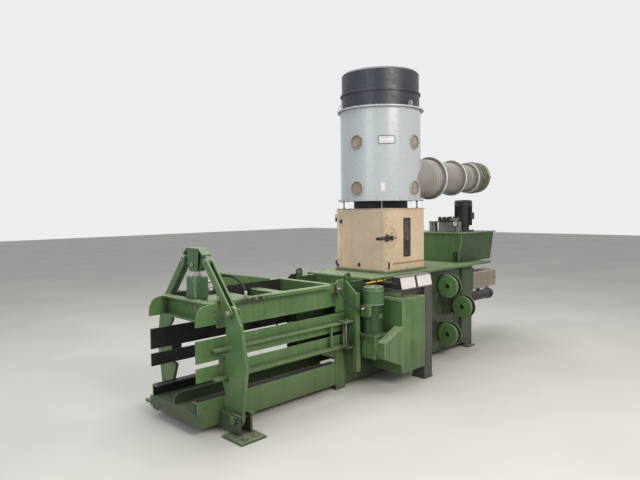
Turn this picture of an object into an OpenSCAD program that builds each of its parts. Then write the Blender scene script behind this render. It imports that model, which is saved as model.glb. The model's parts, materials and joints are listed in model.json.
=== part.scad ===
// Recycling baler: a horizontal press with a feed chute, a drum separator above it
// and a bale channel whose hinged side walls are squeezed by two levers.
// Origin: on the floor, on the centreline, in the plane of the squeeze levers.
// +X runs back along the press, +Z is up, the operator's side is -Y (near). Millimetres.

/* [Channel] */
// Clear width between the press side plates
channel_w = 616; // [590:2:640]
// Underside of beams and side plates above the floor
side_z = 50; // [44:2:70]
// Height of the channel floor
floor_z = 245; // [235:1:260]
// Top of the press sides and of the upper beams
top_z = 945; // [930:5:980]
// Distance from the squeeze levers to the portal
portal_x = 1300; // [1260:10:1400]
// Length of the press body behind the portal
press_l = 2150; // [2150:10:2300]
// Thickness of the press side plates
side_t = 18; // [14:1:20]
// Thickness of the beam webs and channel plates
web_t = 12; // [10:1:14]
// How far the lower beams reach in front of the levers
beam_front = 225; // [200:5:230]
// Width of the lower beam flanges
beam_flange = 70; // [60:5:80]
// Thickness of the tray under the outlet and of the bar in front of it
tray_t = 6; // [4:1:10]
// Top of the centre rail
center_rail_z = 240; // [225:1:244]
// Thickness of the centre rail
center_rail_t = 8; // [6:1:12]
// Length of the leg plates beside the portal
leg_l = 120; // [100:5:140]
// Height of the leg plates
leg_h = 350; // [320:5:360]

/* [Front base] */
// Front faces of the two cross plates, measured from the lever plane
cross_front_x = 40; // [36:1:50]
// Rear cross plate, measured from the lever plane
cross_rear_x = 60; // [50:1:70]
// Thickness of the cross plates
cross_t = 16; // [12:1:20]
// Half length of the cross plates
cross_half = 552; // [546:1:570]
// Top of the cross plates
cross_z = 150; // [144:1:158]
// Thickness of the foot plates
foot_t = 18; // [14:1:22]
// Outer end of the front foot plates from the centreline
foot_out = 669; // [660:1:690]
// Inner end of the front foot plates from the centreline
foot_in = 440; // [420:5:460]
// Half length of the front foot plates along the press
foot_half = 108; // [100:1:120]
// Anchor hole spacing along the press
anchor_dx = 92; // [80:1:120]
// Anchor hole spacing across the press
anchor_dy = 1244; // [1220:2:1260]
// Anchor hole diameter
anchor_d = 22; // [16:1:26]

/* [Upper frame] */
// Underside of the upper side beams
beam_z = 748; // [735:1:755]
// Width of the outward lip on the side beams
lip_w = 60; // [50:1:70]
// Depth of the folded lip edge
lip_h = 24; // [18:1:30]
// Sheet thickness of the lip
lip_t = 8; // [6:1:10]
// Rear end of the side beams in front of the portal
beam_gap = 110; // [100:1:130]
// Underside of the front beam
front_beam_z = 780; // [775:1:800]
// Height of the front beam
front_beam_h = 152; // [140:1:160]
// Width of the front beam flanges
front_flange = 65; // [55:1:75]
// Reach of the front beam end plates
end_plate_l = 234; // [210:2:240]
// Top of the roof plates
roof_z = 885; // [875:1:900]
// Thickness of the roof front plate
roof_t = 15; // [10:1:20]
// Rear edge of the roof front plate
roof_l = 500; // [450:10:560]
// Front face of the roof cross member
cross_member_x = 740; // [700:10:780]
// Length of the roof cross member along the press
cross_member_l = 110; // [90:5:130]
// Depth of the roof cross member
cross_member_h = 80; // [70:5:110]
// Sheet thickness of the hose guard
guard_t = 4; // [3:0.5:6]
// Front end of the hose guard
guard_x = 400; // [380:10:440]
// Length of the hose guard
guard_l = 580; // [520:10:600]
// Height of the hose guard at its front end
guard_h1 = 116; // [100:2:130]
// Height of the hose guard at its rear end
guard_h2 = 12; // [10:1:24]

/* [Squeeze gear] */
// Thickness of the lever plates
lever_t = 26; // [22:1:28]
// Base pivot of the levers from the centreline
base_y = 490; // [485:1:496]
// Base pivot of the levers above the floor
base_z = 120; // [115:1:125]
// Upper lever pin from the centreline
top_pin_y = 446; // [440:1:452]
// Upper lever pin above the floor
top_pin_z = 866; // [860:1:872]
// Link pin in the crosshead from the centreline
link_pin_y = 150; // [145:1:156]
// Link pin in the crosshead above the floor
link_pin_z = 1213; // [1205:1:1225]
// Width of the link bars
link_w = 54; // [48:1:56]
// Thickness of the link bars
link_t = 16; // [12:1:18]
// Side gap between lever plate and link bars
link_gap = 2; // [1:0.5:3]
// Radius of the lever pins
lever_pin_r = 20; // [16:1:22]
// Radius of the link pins in the crosshead
link_pin_r = 15; // [12:1:17]
// Clearance in the lower eye of the links
open_clear = 1.3; // [1:0.1:2]
// Running clearance of pins in their holes
run_clear = 0.08; // [0.05:0.01:0.1]
// Half width of the crosshead at its top
head_half = 82; // [76:1:88]
// Top of the crosshead
head_z = 1312; // [1300:2:1330]
// Height of the crosshead front plate
head_h = 177; // [160:1:190]
// Half width of the crosshead front plate at its foot
head_foot = 47; // [44:1:60]
// Plate thickness of the crosshead
head_t = 12; // [10:1:14]
// Width of the squeeze cylinder housing
housing_w = 124; // [116:2:130]
// Height of the squeeze cylinder housing
housing_h = 205; // [190:1:215]
// Radius of the squeeze cylinder rod
rod_r = 25; // [20:1:28]
// Radius of the squeeze cylinder bore
squeeze_bore_r = 42; // [38:1:50]

/* [Hinged side walls] */
// Outer face of the rails behind the channel side
rail_t = 12; // [10:1:14]
// Lateral offset of the rail inner face from the channel side
rail_off = 4; // [3:0.5:6]
// How far the rails reach in front of the levers
rail_front = 230; // [215:5:240]
// Underside of the lower rail
rail_low_z = 385; // [380:1:390]
// Height of the lower rail
rail_low_h = 100; // [90:1:105]
// Underside of the upper rail
rail_high_z = 520; // [515:1:525]
// Height of the upper rail
rail_high_h = 160; // [150:1:165]
// Height of the upper rail's flange underside
rail_flange_z = 593; // [588:1:600]
// Width of the rail flanges
rail_flange_w = 61; // [58:1:66]
// Thickness of the upper rail flange
rail_flange_t = 12; // [10:1:14]
// Thickness of the lower rail flange
rail_low_flange_t = 15; // [12:1:16]
// Radius of the vertical tie bars
tie_r = 10; // [8:0.5:12]
// Wall hinge pin in front of the portal
hinge_back = 15; // [14:0.5:18]
// Wall hinge pin from the centreline
hinge_y = 350; // [346:1:356]
// Radius of the wall hinge pins
hinge_r = 12; // [8:0.5:13]
// Gap between lever nose and striker plate
nose_gap = 0.5; // [0.4:0.1:1]

/* [Portal and drive] */
// Outer edge of the portal wings from the centreline
wing_y = 460; // [450:2:480]
// Foot of the portal wings
wing_z0 = 165; // [150:5:180]
// Height where the outer edge of a wing ends
wing_z1 = 860; // [840:5:880]
// Height of the wings at the press side
wing_z2 = 962; // [950:2:980]
// Thickness of the wing plates
wing_t = 14; // [10:1:16]
// Depth of the wing edge flange
wing_flange = 50; // [44:2:60]
// Drive centre behind the portal
drive_x = 163; // [155:1:175]
// Drive centre from the centreline
drive_y = 518.5; // [518:0.5:524]
// Width of the gearbox
gear_w = 175; // [165:1:185]
// Underside of the gearbox
gear_z = 285; // [270:1:290]
// Height of the gearbox
gear_h = 191; // [180:1:200]
// Thickness of the plate under the motor
gear_plate_t = 12; // [10:1:16]
// Radius of the motor frame over the ribs
motor_r = 76; // [70:1:80]
// Height of the motor frame
motor_h = 262; // [250:1:270]
// Number of ribs round the motor
rib_count = 32; // [24:4:40]
// Radius of the fan cover
fan_r = 92; // [88:1:95]
// Height of the fan cover
fan_h = 162; // [150:1:170]
// Radius of the output flange
output_r = 80; // [70:1:85]
// Width of the drive guards
guard_w = 83; // [76:1:90]
// Length of the chain guard
chain_l = 249; // [240:1:260]
// Length of the guard box
box_l = 345; // [330:1:350]
// Underside of the guard box
box_z = 124; // [110:1:140]
// Top of the guard box
box_top = 791; // [770:1:810]

/* [Deck and chute] */
// Thickness of the deck
deck_t = 15; // [12:1:20]
// Front edge of the deck behind the portal
deck_x = 255; // [240:5:270]
// Length of the deck
deck_l = 2195; // [2180:5:2250]
// Half width of the deck
deck_half = 420; // [412:2:440]
// Depth of the deck's folded edge
deck_edge = 25; // [20:1:40]
// Depth of the beam under the deck's front edge
deck_beam = 110; // [90:5:130]
// Height of the coaming under the chute
coaming_h = 20; // [14:1:24]
// Front face of the chute behind the portal
chute_x = 592; // [585:1:600]
// Length of the chute along the press
chute_l = 638; // [630:1:645]
// Half width of the chute
chute_half = 314; // [312:1:318]
// Height of the chute above its flange
chute_h = 599; // [585:1:610]
// Sheet thickness of the chute
chute_t = 6; // [4:1:8]
// Thickness of the chute's base flange
chute_flange_t = 8; // [6:1:10]
// Overhang of the chute's top lip
chute_lip = 12; // [8:1:16]
// Width of the sight window
window_w = 94; // [80:1:110]
// Height of the sight window
window_h = 365; // [320:1:400]
// Thickness of the chute door
door_t = 10; // [8:1:12]
// Length of the latch handle
latch_l = 280; // [260:1:300]
// Height of the latch pivot above the chute flange
latch_z = 320; // [300:1:340]
// Radius of the embossed latch disc
latch_disc_r = 68; // [60:1:72]

/* [Drum and duct] */
// Radius of the drum
drum_r = 408; // [400:1:412]
// Height of the drum
drum_h = 913; // [880:1:950]
// Wall thickness of the drum
drum_t = 6; // [4:1:8]
// Radius of the drum rims
rim_r = 438; // [425:1:450]
// Thickness of the drum rims
rim_t = 14; // [10:1:18]
// Gap between the chute and the drum
drum_gap = 74; // [60:1:90]
// Radius of the rubber sleeve under the drum
sleeve_r = 275; // [260:1:285]
// Wall thickness of the rubber sleeve
sleeve_t = 8; // [6:1:10]
// Radius of the spacer rods
spacer_r = 7; // [5:0.5:10]
// Radius of the sight ports
port_r = 60; // [50:1:64]
// Height of the upper sight ports above the drum's foot
port_high = 571; // [540:1:590]
// Height of the lower sight ports above the drum's foot
port_low = 125; // [115:1:140]
// Radius of the drum head
head_r = 395; // [385:1:400]
// Height of the drum head
drum_head_h = 370; // [350:5:400]
// Offset of the duct from the centreline
duct_y = 205; // [195:1:208]
// Height of the duct axis above the drum's foot
duct_h = 221; // [212:1:240]
// Rise of the duct in degrees
duct_rise = 2.1; // [0:0.1:3]
// Radius of the duct at the drum
duct_r1 = 196.5; // [185:0.5:198]
// Radius of the duct after the taper
duct_r2 = 168; // [160:1:175]
// Radius of the last duct section
duct_r3 = 144; // [138:1:150]
// Radius of the coupling band
coupling_r = 177; // [172:1:182]
// Wall thickness of the duct
duct_t = 3; // [2:0.5:4]
// Radius of the pale clamp rings over the duct
clamp_h = 28; // [20:1:32]

/* [Press ram and oil supply] */
// Front face of the retracted ram behind the portal
ram_x = 1240; // [1232:2:1250]
// Length of the ram
ram_l = 700; // [600:10:740]
// Play between the ram and the channel
ram_play = 5; // [4:0.5:8]
// Thickness of the rear wall
rear_t = 24; // [20:1:30]
// Height of the main cylinder axis
cylinder_z = 458; // [450:1:470]
// Outer radius of the main cylinder
cylinder_r = 62.5; // [60:0.5:66]
// Length of the main cylinder
cylinder_l = 1013; // [1013:1:1050]
// Radius of the main rod
main_rod_r = 35; // [30:1:38]
// Bore radius of the main cylinder
cylinder_bore_r = 48; // [46:0.5:52]
// Front end of the oil tank behind the portal
tank_x = 2000; // [1960:10:2040]
// Length of the oil tank
tank_l = 730; // [680:10:760]
// Height of the oil tank
tank_h = 343; // [320:1:360]
// Half width of the oil tank at its foot
tank_foot = 258; // [240:2:270]
// Half width of the oil tank at its top
tank_top = 300; // [290:2:310]
// Length of the electrical box
ebox_l = 540; // [500:10:560]
// Height of the electrical box
ebox_h = 186; // [170:1:200]
// Underside of the electrical box
ebox_z = 652; // [640:1:670]

/* [Wire wheels] */
// Radius of the wire wheels
wheel_r = 122; // [110:1:123]
// Thickness of the wire wheels
wheel_w = 90; // [80:1:100]
// Wheel centres from the centreline
wheel_y = 452; // [450:1:470]
// Radius of the wheel bores
wheel_bore_r = 27.5; // [20:0.5:30]
// Front face of the front wheels behind the portal
wheel_x = 1457; // [1450:1:1470]
// Setback of the rear wheel
wheel_step = 288; // [270:1:300]
// Height of the upper wheel
wheel_z1 = 764; // [750:1:780]
// Height of the lower wheel
wheel_z2 = 251; // [240:1:270]
// Height of the rear wheel
wheel_z3 = 506; // [490:1:520]

/* [Console] */
// Length of the console desk
desk_l = 470; // [440:2:480]
// Depth of the console desk
desk_d = 90; // [80:1:100]
// Height of the console desk
desk_h = 108; // [100:1:120]
// Underside of the console desk
desk_z = 872; // [860:1:880]
// Length of the console column
column_l = 118; // [100:1:126]
// Depth of the console column
column_d = 140; // [120:1:160]

/* [Hidden] */
$fn = 64;

// Colours as on the machine
green = "#4f8a4e";
dark_green = "#3a6647";
cream = "#e0c39c";
grey = "#aab4bb";
steel = "#c4c8c8";
black = "#202324";
navy = "#242b3a";
violet = "#56525f";
olive = "#6d6f3c";

// Faces across the press, from the centreline
inner_y = channel_w / 2;
web_y = inner_y + web_t;
side_y = inner_y + side_t;
lip_y = web_y + lip_w;
rail_in = inner_y + rail_off;
rail_out = rail_in + rail_t;
rail_edge = rail_out + rail_flange_w;

// Stations along the press
front_web_x = -60;
front_web_back = front_web_x + web_t;
beam_end = portal_x - beam_gap;
leg_x = portal_x - leg_l;
rear_x = portal_x + press_l;
rear_back = rear_x + rear_t;
deck_x0 = portal_x + deck_x;
chute_x0 = portal_x + chute_x;
chute_x1 = chute_x0 + chute_l;
drum_x = chute_x0 + chute_l / 2;
drive_cx = portal_x + drive_x;
tank_x0 = portal_x + tank_x;
ebox_gap = 26;
gear_back_y = drive_y - gear_w / 2;
gear_front_y = drive_y + gear_w / 2;
output_t = 12;
drive_guard_y = gear_front_y + output_t;
drive_guard_out = drive_guard_y + guard_w;
chain_x0 = drive_cx - 73;
box_x0 = chain_x0 + chain_l;
box_x1 = box_x0 + box_l;
wheel_x0 = portal_x + wheel_x;

// Heights
deck_z = top_z + deck_t;
coaming_z = deck_z + coaming_h;
chute_z0 = coaming_z + chute_flange_t;
chute_z1 = chute_z0 + chute_h;
lip_plate_t = 6;
drum_z = chute_z1 + lip_plate_t + drum_gap;
drum_top = drum_z + drum_h;
gear_top = gear_z + gear_h + gear_plate_t;
motor_top = gear_top + motor_h;
housing_top = roof_z + housing_h;

// Squeeze gear
lever_x = lever_t / 2;
link_x0 = lever_x + link_gap;
link_x1 = link_x0 + link_t;
pin_end = link_x1 + 8;
eye_r = link_w / 2;
head_depth = rod_r + head_t + 2;
nose_r = 21;
striker_t = 5.7;
nose_y = rail_out + striker_t + nose_gap + nose_r;
nose_z = (rail_low_z + rail_low_h + rail_high_z) / 2;
hinge_x = portal_x - hinge_back;
bracket_t = 12;
bracket_z = rail_flange_z + rail_flange_t + 0.5;
bracket_top = bracket_z + bracket_t;

// A box between two values on each axis
module span(x, y, z) {
    translate([x[0], y[0], z[0]]) cube([x[1] - x[0], y[1] - y[0], z[1] - z[0]]);
}

// A plate standing across the press: its outline is drawn in Y and Z
module across(x0, t) {
    translate([x0, 0, 0]) rotate([90, 0, 90]) linear_extrude(t) children();
}

// A plate standing along the press: its outline is drawn in X and Z
module along(y0, t) {
    translate([0, y0 + t, 0]) rotate([90, 0, 0]) linear_extrude(t) children();
}

// A shaft along X
module shaft_x(x0, x1, r) {
    translate([x0, 0, 0]) rotate([0, 90, 0]) cylinder(r = r, h = x1 - x0);
}

// The far side as drawn, and its mirror image on the near side
module both_sides() {
    children();
    mirror([0, 1, 0]) children();
}

// A hose: rings across the route through the points, closed at both ends
function unit(v) = v / norm(v);
function way(p, i) = unit(p[min(i + 1, len(p) - 1)] - p[max(i - 1, 0)]);
function turned(up, t) = unit(up - t * (up * t));
function frames(p, up, i = 0) =
    i == len(p) ? [] : let (u = turned(up, way(p, i))) concat([u], frames(p, u, i + 1));
module tube(p, r, up, sides = 10) {
    ups = frames(p, up);
    rings = [for (i = [0:len(p) - 1]) let (t = way(p, i), u = ups[i], w = cross(t, u))
        for (k = [0:sides - 1]) p[i] + r * (cos(360 * k / sides) * u + sin(360 * k / sides) * w)];
    walls = [for (i = [0:len(p) - 2]) for (k = [0:sides - 1])
        [i * sides + k, i * sides + (k + 1) % sides,
         (i + 1) * sides + (k + 1) % sides, (i + 1) * sides + k]];
    last = (len(p) - 1) * sides;
    polyhedron(rings, concat(walls, [[for (k = [sides - 1:-1:0]) k]],
        [[for (k = [0:sides - 1]) last + k]]), convexity = 6);
}

// Front base
module cross_plate(x0) {
    notch = beam_flange + 0.6;
    difference() {
        across(x0, cross_t) difference() {
            translate([-cross_half, foot_t]) square([2 * cross_half, cross_z - foot_t]);
            for (s = [-1, 1])
                translate([s * (web_y - beam_flange / 2) - notch / 2, side_z])
                    square([notch, cross_z]);
        }
        for (s = [-1, 1])
            translate([0, s * base_y, base_z]) shaft_x(x0 - 1, x0 + cross_t + 1, lever_pin_r + run_clear);
    }
}

module cross_plates() {
    color(dark_green) {
        cross_plate(-cross_front_x);
        cross_plate(cross_rear_x);
        both_sides() for (x = [-cross_front_x - 10, cross_rear_x - 4])
            span([x, x + cross_t + 14], [foot_in + 20, cross_half + 18], [cross_z, cross_z + 12]);
        span([-beam_front - tray_t, -beam_front], [-web_y - 25, web_y + 25],
             [cross_z - 80, cross_z + tray_t]);
    }
}

module floor_feet() {
    color(green) {
        both_sides() difference() {
            span([-foot_half, foot_half], [foot_in, foot_out], [0, foot_t]);
            for (x = [-anchor_dx / 2, anchor_dx / 2])
                translate([x, anchor_dy / 2, -1]) cylinder(d = anchor_d, h = foot_t + 2);
        }
        both_sides() for (x = [portal_x + 850, rear_x - 150]) {
            span([x, x + 150], [inner_y - 30, side_y + 60], [0, foot_t]);
            span([x + 15, x + 135], [inner_y, side_y], [foot_t, side_z]);
        }
    }
}

module fixed_pins() {
    color(steel) both_sides() {
        translate([0, base_y, base_z])
            shaft_x(-cross_front_x - 14, cross_rear_x + cross_t + 14, lever_pin_r);
        translate([0, base_y, base_z]) difference() {
            shaft_x(-cross_front_x - 14, -cross_front_x, lever_pin_r + 8);
            shaft_x(-cross_front_x - 15, -cross_front_x - 8, lever_pin_r - 8);
        }
        translate([hinge_x, hinge_y, rail_low_z - 30])
            cylinder(r = hinge_r, h = bracket_top - rail_low_z + 30);
        translate([hinge_x, hinge_y, bracket_top]) cylinder(r = hinge_r + 2.5, h = 10);
    }
}

// Lower beams, open towards the centre
module lower_beams() {
    color(green) both_sides() across(-beam_front, leg_x + beam_front) difference() {
        translate([web_y - beam_flange, side_z]) square([beam_flange, floor_z - side_z]);
        translate([web_y - beam_flange - 1, side_z + web_t])
            square([beam_flange - web_t + 1, floor_z - side_z - 2 * web_t]);
    }
}

// Centre rail on the tray under the outlet
module center_rail() {
    nose = 30;
    color(dark_green) {
        along(-center_rail_t / 2, center_rail_t) polygon([[-beam_front, cross_z + tray_t],
            [-beam_front, center_rail_z - nose], [-beam_front + nose, center_rail_z],
            [portal_x, center_rail_z], [portal_x, cross_z + tray_t]]);
        span([-beam_front, portal_x], [-inner_y, inner_y], [cross_z, cross_z + tray_t]);
    }
}

// Upper side beams with a folded outward lip, and the plates that join them to the portal
module side_beams() {
    recess_l = 70;
    step = web_t / 2;
    color(green) both_sides() {
        span([front_web_back, beam_end - recess_l], [inner_y, web_y], [beam_z, top_z]);
        span([beam_end - recess_l, beam_end], [inner_y, web_y - step], [beam_z, top_z]);
        difference() {
            span([beam_end, portal_x], [inner_y, web_y],
                 [rail_high_z + rail_high_h + 10, top_z + 30]);
            along(inner_y - 1, web_t + 2) polygon([[beam_end - 1, top_z],
                [beam_end + 45, top_z + 31], [beam_end - 1, top_z + 31]]);
        }
        across(60, beam_end - recess_l - 95) polygon([[web_y, top_z], [lip_y, top_z],
            [lip_y, top_z - lip_h], [lip_y - lip_t, top_z - lip_h],
            [lip_y - lip_t, top_z - lip_t], [web_y, top_z - lip_t]]);
        span([leg_x, portal_x], [inner_y, web_y], [0, leg_h]);
    }
}

module front_beam() {
    plate_out = web_y + web_t;
    color(green) {
        along(-web_y, 2 * web_y) polygon([
            [front_web_back, front_beam_z], [front_web_back, front_beam_z + front_beam_h],
            [front_web_x - front_flange, front_beam_z + front_beam_h],
            [front_web_x - front_flange, front_beam_z + front_beam_h - 10],
            [front_web_x, front_beam_z + front_beam_h - 10], [front_web_x, front_beam_z + 10],
            [front_web_x - front_flange, front_beam_z + 10],
            [front_web_x - front_flange, front_beam_z]]);
        both_sides() along(web_y, web_t) polygon([[-8, front_beam_z], [-50, front_beam_z + 155],
            [-175, front_beam_z + 140], [-end_plate_l + 30, front_beam_z + 120],
            [-end_plate_l + 6, front_beam_z + 73], [-end_plate_l, front_beam_z]]);
    }
}

module roof_front_plate() {
    color(green) span([front_web_back, roof_l], [-inner_y, inner_y], [roof_z - roof_t, roof_z]);
}

module roof_cross_member() {
    wall = 10;
    color(green) along(-inner_y, 2 * inner_y) difference() {
        translate([cross_member_x, roof_z + 3 - cross_member_h])
            square([cross_member_l, cross_member_h]);
        translate([cross_member_x + wall, roof_z + 3 + wall - cross_member_h])
            square([cross_member_l - 2 * wall, cross_member_h - 2 * wall]);
    }
}

module roof_rear_plate() {
    color(green) {
        span([beam_end - 95, beam_end - 80], [-inner_y, inner_y], [beam_z, top_z]);
        span([beam_end - 80, beam_end - 30], [-inner_y, inner_y], [top_z - 10, top_z]);
    }
}

// Folded sheet over the pipes on the far beam
module hose_guard() {
    x1 = guard_x + guard_l;
    color(green) difference() {
        along(web_y, lip_w) polygon([[guard_x, top_z], [guard_x, top_z + guard_h1 - 14],
            [guard_x + 15, top_z + guard_h1], [x1, top_z + guard_h2], [x1, top_z]]);
        along(web_y + guard_t, lip_w - 2 * guard_t) polygon([[guard_x + guard_t, top_z - 1],
            [guard_x + guard_t, top_z + guard_h1 - 18], [guard_x + 16, top_z + guard_h1 - guard_t],
            [x1 - 20, top_z + guard_h2 - 1], [x1 - 20, top_z - 1]]);
    }
}

// Squeeze gear
module squeeze_cylinder() {
    half = housing_w / 2;
    chamfer = 8;
    gland = 24;
    seat_z = front_beam_z + front_beam_h;
    color(green) difference() {
        union() {
            translate([0, 0, seat_z]) linear_extrude(housing_top - seat_z) polygon([
                [-half, -half + chamfer], [-half + chamfer, -half], [half - chamfer, -half],
                [half, -half + chamfer], [half, half - chamfer], [half - chamfer, half],
                [-half + chamfer, half], [-half, half - chamfer]]);
            span([front_web_back, half - chamfer], [-half + chamfer, half - chamfer], [roof_z, seat_z]);
        }
        translate([0, 0, roof_z + 14])
            cylinder(r = squeeze_bore_r, h = housing_h - gland - 14);
        translate([0, 0, roof_z + 20]) cylinder(r = rod_r + run_clear, h = housing_h);
    }
}

module crosshead_rod() {
    rod_eye_z = head_z - 127;
    color(steel) {
        difference() {
            union() {
                translate([0, 0, roof_z + 50])
                    cylinder(r = rod_r, h = rod_eye_z - roof_z - 50);
                translate([0, 0, roof_z + 50]) cylinder(r = squeeze_bore_r - 0.1, h = 30);
                translate([0, 0, rod_eye_z]) shaft_x(-lever_x - 8, lever_x + 8, rod_r + 4);
            }
            translate([0, 0, rod_eye_z]) shaft_x(-50, 50, 12 + run_clear);
        }
        translate([0, 0, rod_eye_z]) shaft_x(-head_depth - 6, head_depth + 6, 12);
    }
}

// Outline of the central web of the crosshead
module crosshead_web() {
    difference() {
        union() {
            polygon([[-head_half, head_z - head_t], [-head_foot, head_z - head_h],
                [head_foot, head_z - head_h], [head_half, head_z - head_t]]);
            for (s = [-1, 1]) {
                translate([s * link_pin_y, link_pin_z]) circle(r = eye_r);
                polygon([[s * head_half, head_z - head_t], [s * (link_pin_y + 20), link_pin_z + 18],
                    [s * (link_pin_y - 10), link_pin_z - 25], [s * head_foot, link_pin_z - 60],
                    [0, link_pin_z], [0, head_z - head_t]]);
            }
        }
        translate([-rod_r - 6, head_z - head_h - 1]) square([2 * rod_r + 12, head_h - 82]);
    }
}

module crosshead() {
    depth = head_depth;
    rod_eye_z = head_z - 127;
    color(green) {
        difference() {
            union() {
                across(-lever_x, lever_t) crosshead_web();
                for (x = [-depth, depth - head_t]) across(x, head_t)
                    polygon([[-head_half, head_z - head_t], [-head_foot, head_z - head_h],
                        [head_foot, head_z - head_h], [head_half, head_z - head_t]]);
                across(-depth, 2 * depth) for (s = [-1, 1]) polygon([[0, head_z],
                    [s * head_half, head_z], [s * (link_pin_y - 12), head_z - 46],
                    [s * (link_pin_y - 20), head_z - 57], [s * head_half, head_z - head_t],
                    [0, head_z - head_t]]);
            }
            for (s = [-1, 1]) translate([0, s * link_pin_y, link_pin_z])
                shaft_x(-lever_x - 1, lever_x + 1, link_pin_r + 0.1);
            translate([0, 0, rod_eye_z]) shaft_x(-depth - 1, depth + 1, 12.1);
        }
        for (s = [-1, 1]) translate([0, s * link_pin_y, link_pin_z]) {
            shaft_x(-pin_end, pin_end, link_pin_r);
            shaft_x(-pin_end, -link_x1 - 1, link_pin_r + 8);
        }
    }
}

// One link: two bars in front of and behind the lever plate
module link() {
    run = [link_pin_y - top_pin_y, link_pin_z - top_pin_z];
    length = norm(run);
    turn = atan2(run[1], run[0]);
    color(green) for (x = [-link_x1, link_x0]) across(x, link_t)
        translate([top_pin_y, top_pin_z]) rotate(turn) difference() {
            union() {
                circle(r = eye_r);
                translate([length, 0]) circle(r = eye_r);
                translate([0, -eye_r]) square([length, 2 * eye_r]);
            }
            circle(r = lever_pin_r + open_clear);
            translate([length, 0]) circle(r = link_pin_r + run_clear);
        }
}
module link_far() { link(); }
module link_near() { mirror([0, 1, 0]) link(); }

// One lever: a broad plate notched round the rail flanges, with a nose that meets the rails
module lever() {
    notch_low_y = rail_edge + 15;
    notch_high_y = rail_edge + 47;
    color(green) difference() {
        across(-lever_x, lever_t) union() {
            translate([top_pin_y, top_pin_z]) circle(r = 50);
            translate([base_y, base_z]) circle(r = 60);
            translate([nose_y, nose_z]) circle(r = nose_r);
            polygon([
                [top_pin_y + 48, top_pin_z + 14], [top_pin_y + 88, top_pin_z - 60],
                [top_pin_y + 102, top_pin_z - 73], [base_y + 119, base_z + 383],
                [base_y + 61, base_z + 38], [base_y + 20, base_z - 56], [base_y - 40, base_z - 44],
                [base_y - 73, base_z + 3], [rail_in + 8, rail_low_z - 31],
                [rail_out + 16, rail_low_z - 20], [notch_low_y, rail_low_z - 20],
                [notch_low_y, rail_low_z + 45], [nose_y + 5, nose_z - nose_r],
                [nose_y, nose_z], [nose_y + 5, nose_z + nose_r],
                [notch_high_y, rail_flange_z - 19], [notch_high_y, rail_flange_z + 47],
                [rail_out + 47, rail_high_z + rail_high_h + 29], [top_pin_y - 49, top_pin_z - 14]]);
        }
        translate([0, base_y, base_z]) shaft_x(-50, 50, lever_pin_r + run_clear);
        translate([0, top_pin_y, top_pin_z]) shaft_x(-50, 50, lever_pin_r + run_clear);
    }
    color(steel) translate([0, top_pin_y, top_pin_z]) {
        shaft_x(-pin_end, pin_end, lever_pin_r);
        for (x = [-pin_end - 7, pin_end]) shaft_x(x, x + 7, lever_pin_r + 9);
    }
}
module lever_far() { lever(); }
module lever_near() { mirror([0, 1, 0]) lever(); }

// One hinged side wall: two rails, two tie bars and the striker plate
module rails() {
    rail_end = portal_x - 4;
    flange_x = -110;
    hole_r = hinge_r + run_clear;
    low_top = rail_low_z + rail_low_flange_t;
    color(green) {
        difference() {
            union() {
                span([-rail_front, rail_end], [rail_in, rail_out],
                     [rail_high_z, rail_high_z + rail_high_h]);
                span([flange_x, rail_end], [rail_out, rail_edge],
                     [rail_flange_z, rail_flange_z + rail_flange_t]);
            }
            translate([hinge_x, hinge_y, rail_flange_z - 1])
                cylinder(r = hole_r, h = rail_flange_t + 2);
        }
        difference() {
            union() {
                span([-rail_front, rail_end], [rail_in, rail_out],
                     [rail_low_z, rail_low_z + rail_low_h]);
                span([flange_x, rail_end], [rail_out, rail_edge], [rail_low_z, low_top]);
            }
            translate([hinge_x, hinge_y, rail_low_z - 1])
                cylinder(r = hole_r, h = rail_low_flange_t + 2);
        }
        span([-45, 45], [rail_out, rail_out + striker_t],
             [rail_low_z + rail_low_h - 45, rail_high_z + 40]);
    }
    color(steel) for (x = [portal_x - 210, portal_x - 58])
        translate([x, rail_edge - 25, low_top]) cylinder(r = tie_r, h = rail_flange_z - low_top);
}
module rails_far() { rails(); }
module rails_near() { mirror([0, 1, 0]) rails(); }

// Portal
module portal_wings() {
    color(green) both_sides() {
        across(portal_x, wing_t) polygon([[side_y, wing_z0], [wing_y, wing_z0],
            [wing_y, wing_z1], [side_y, wing_z2]]);
        span([portal_x + wing_t, portal_x + wing_flange], [wing_y - 12, wing_y],
             [wing_z0, wing_z1]);
    }
    hinge_brackets();
}

// Brackets welded to the wings, with the holes for the wall hinge pins
module hinge_brackets() {
    slot_x = portal_x - 62;
    color(green) both_sides() {
        difference() {
            span([portal_x - 110, portal_x], [rail_out + 2, wing_y - 30],
                 [bracket_z, bracket_top]);
            translate([hinge_x, hinge_y, bracket_z - 1]) cylinder(r = hinge_r + 0.05, h = 14);
            for (x = [slot_x, slot_x - 22])
                translate([x, rail_edge + 5, bracket_z - 1]) cylinder(r = 9, h = 14);
            span([slot_x - 22, slot_x], [rail_edge - 4, rail_edge + 14],
                 [bracket_z - 1, bracket_top + 1]);
        }
        difference() {
            span([portal_x - 50, portal_x], [rail_out + 2, wing_y - 40],
                 [rail_low_z - 13, rail_low_z - 0.4]);
            translate([hinge_x, hinge_y, rail_low_z - 14]) cylinder(r = hinge_r + 0.05, h = 14);
        }
    }
}

// Press body
module press_sides() {
    lug_r = 38;
    lug_z = top_z + 44;
    color(dark_green) both_sides() {
        span([portal_x, rear_x], [inner_y, side_y], [side_z, top_z]);
        along(inner_y, side_t) translate([portal_x + 45, 0]) difference() {
            union() {
                translate([0, lug_z]) circle(r = lug_r);
                translate([-lug_r, top_z]) square([2 * lug_r, lug_z - top_z]);
            }
            translate([0, lug_z]) circle(r = 14);
        }
    }
    color(green) span([rear_x - 180, rear_back + ebox_gap], [-side_y - 8, -side_y],
        [ebox_z - 12, top_z - 50]);
}

module channel_floor() {
    color(dark_green) span([portal_x, rear_x], [-inner_y, inner_y], [floor_z - 16, floor_z]);
}

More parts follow.
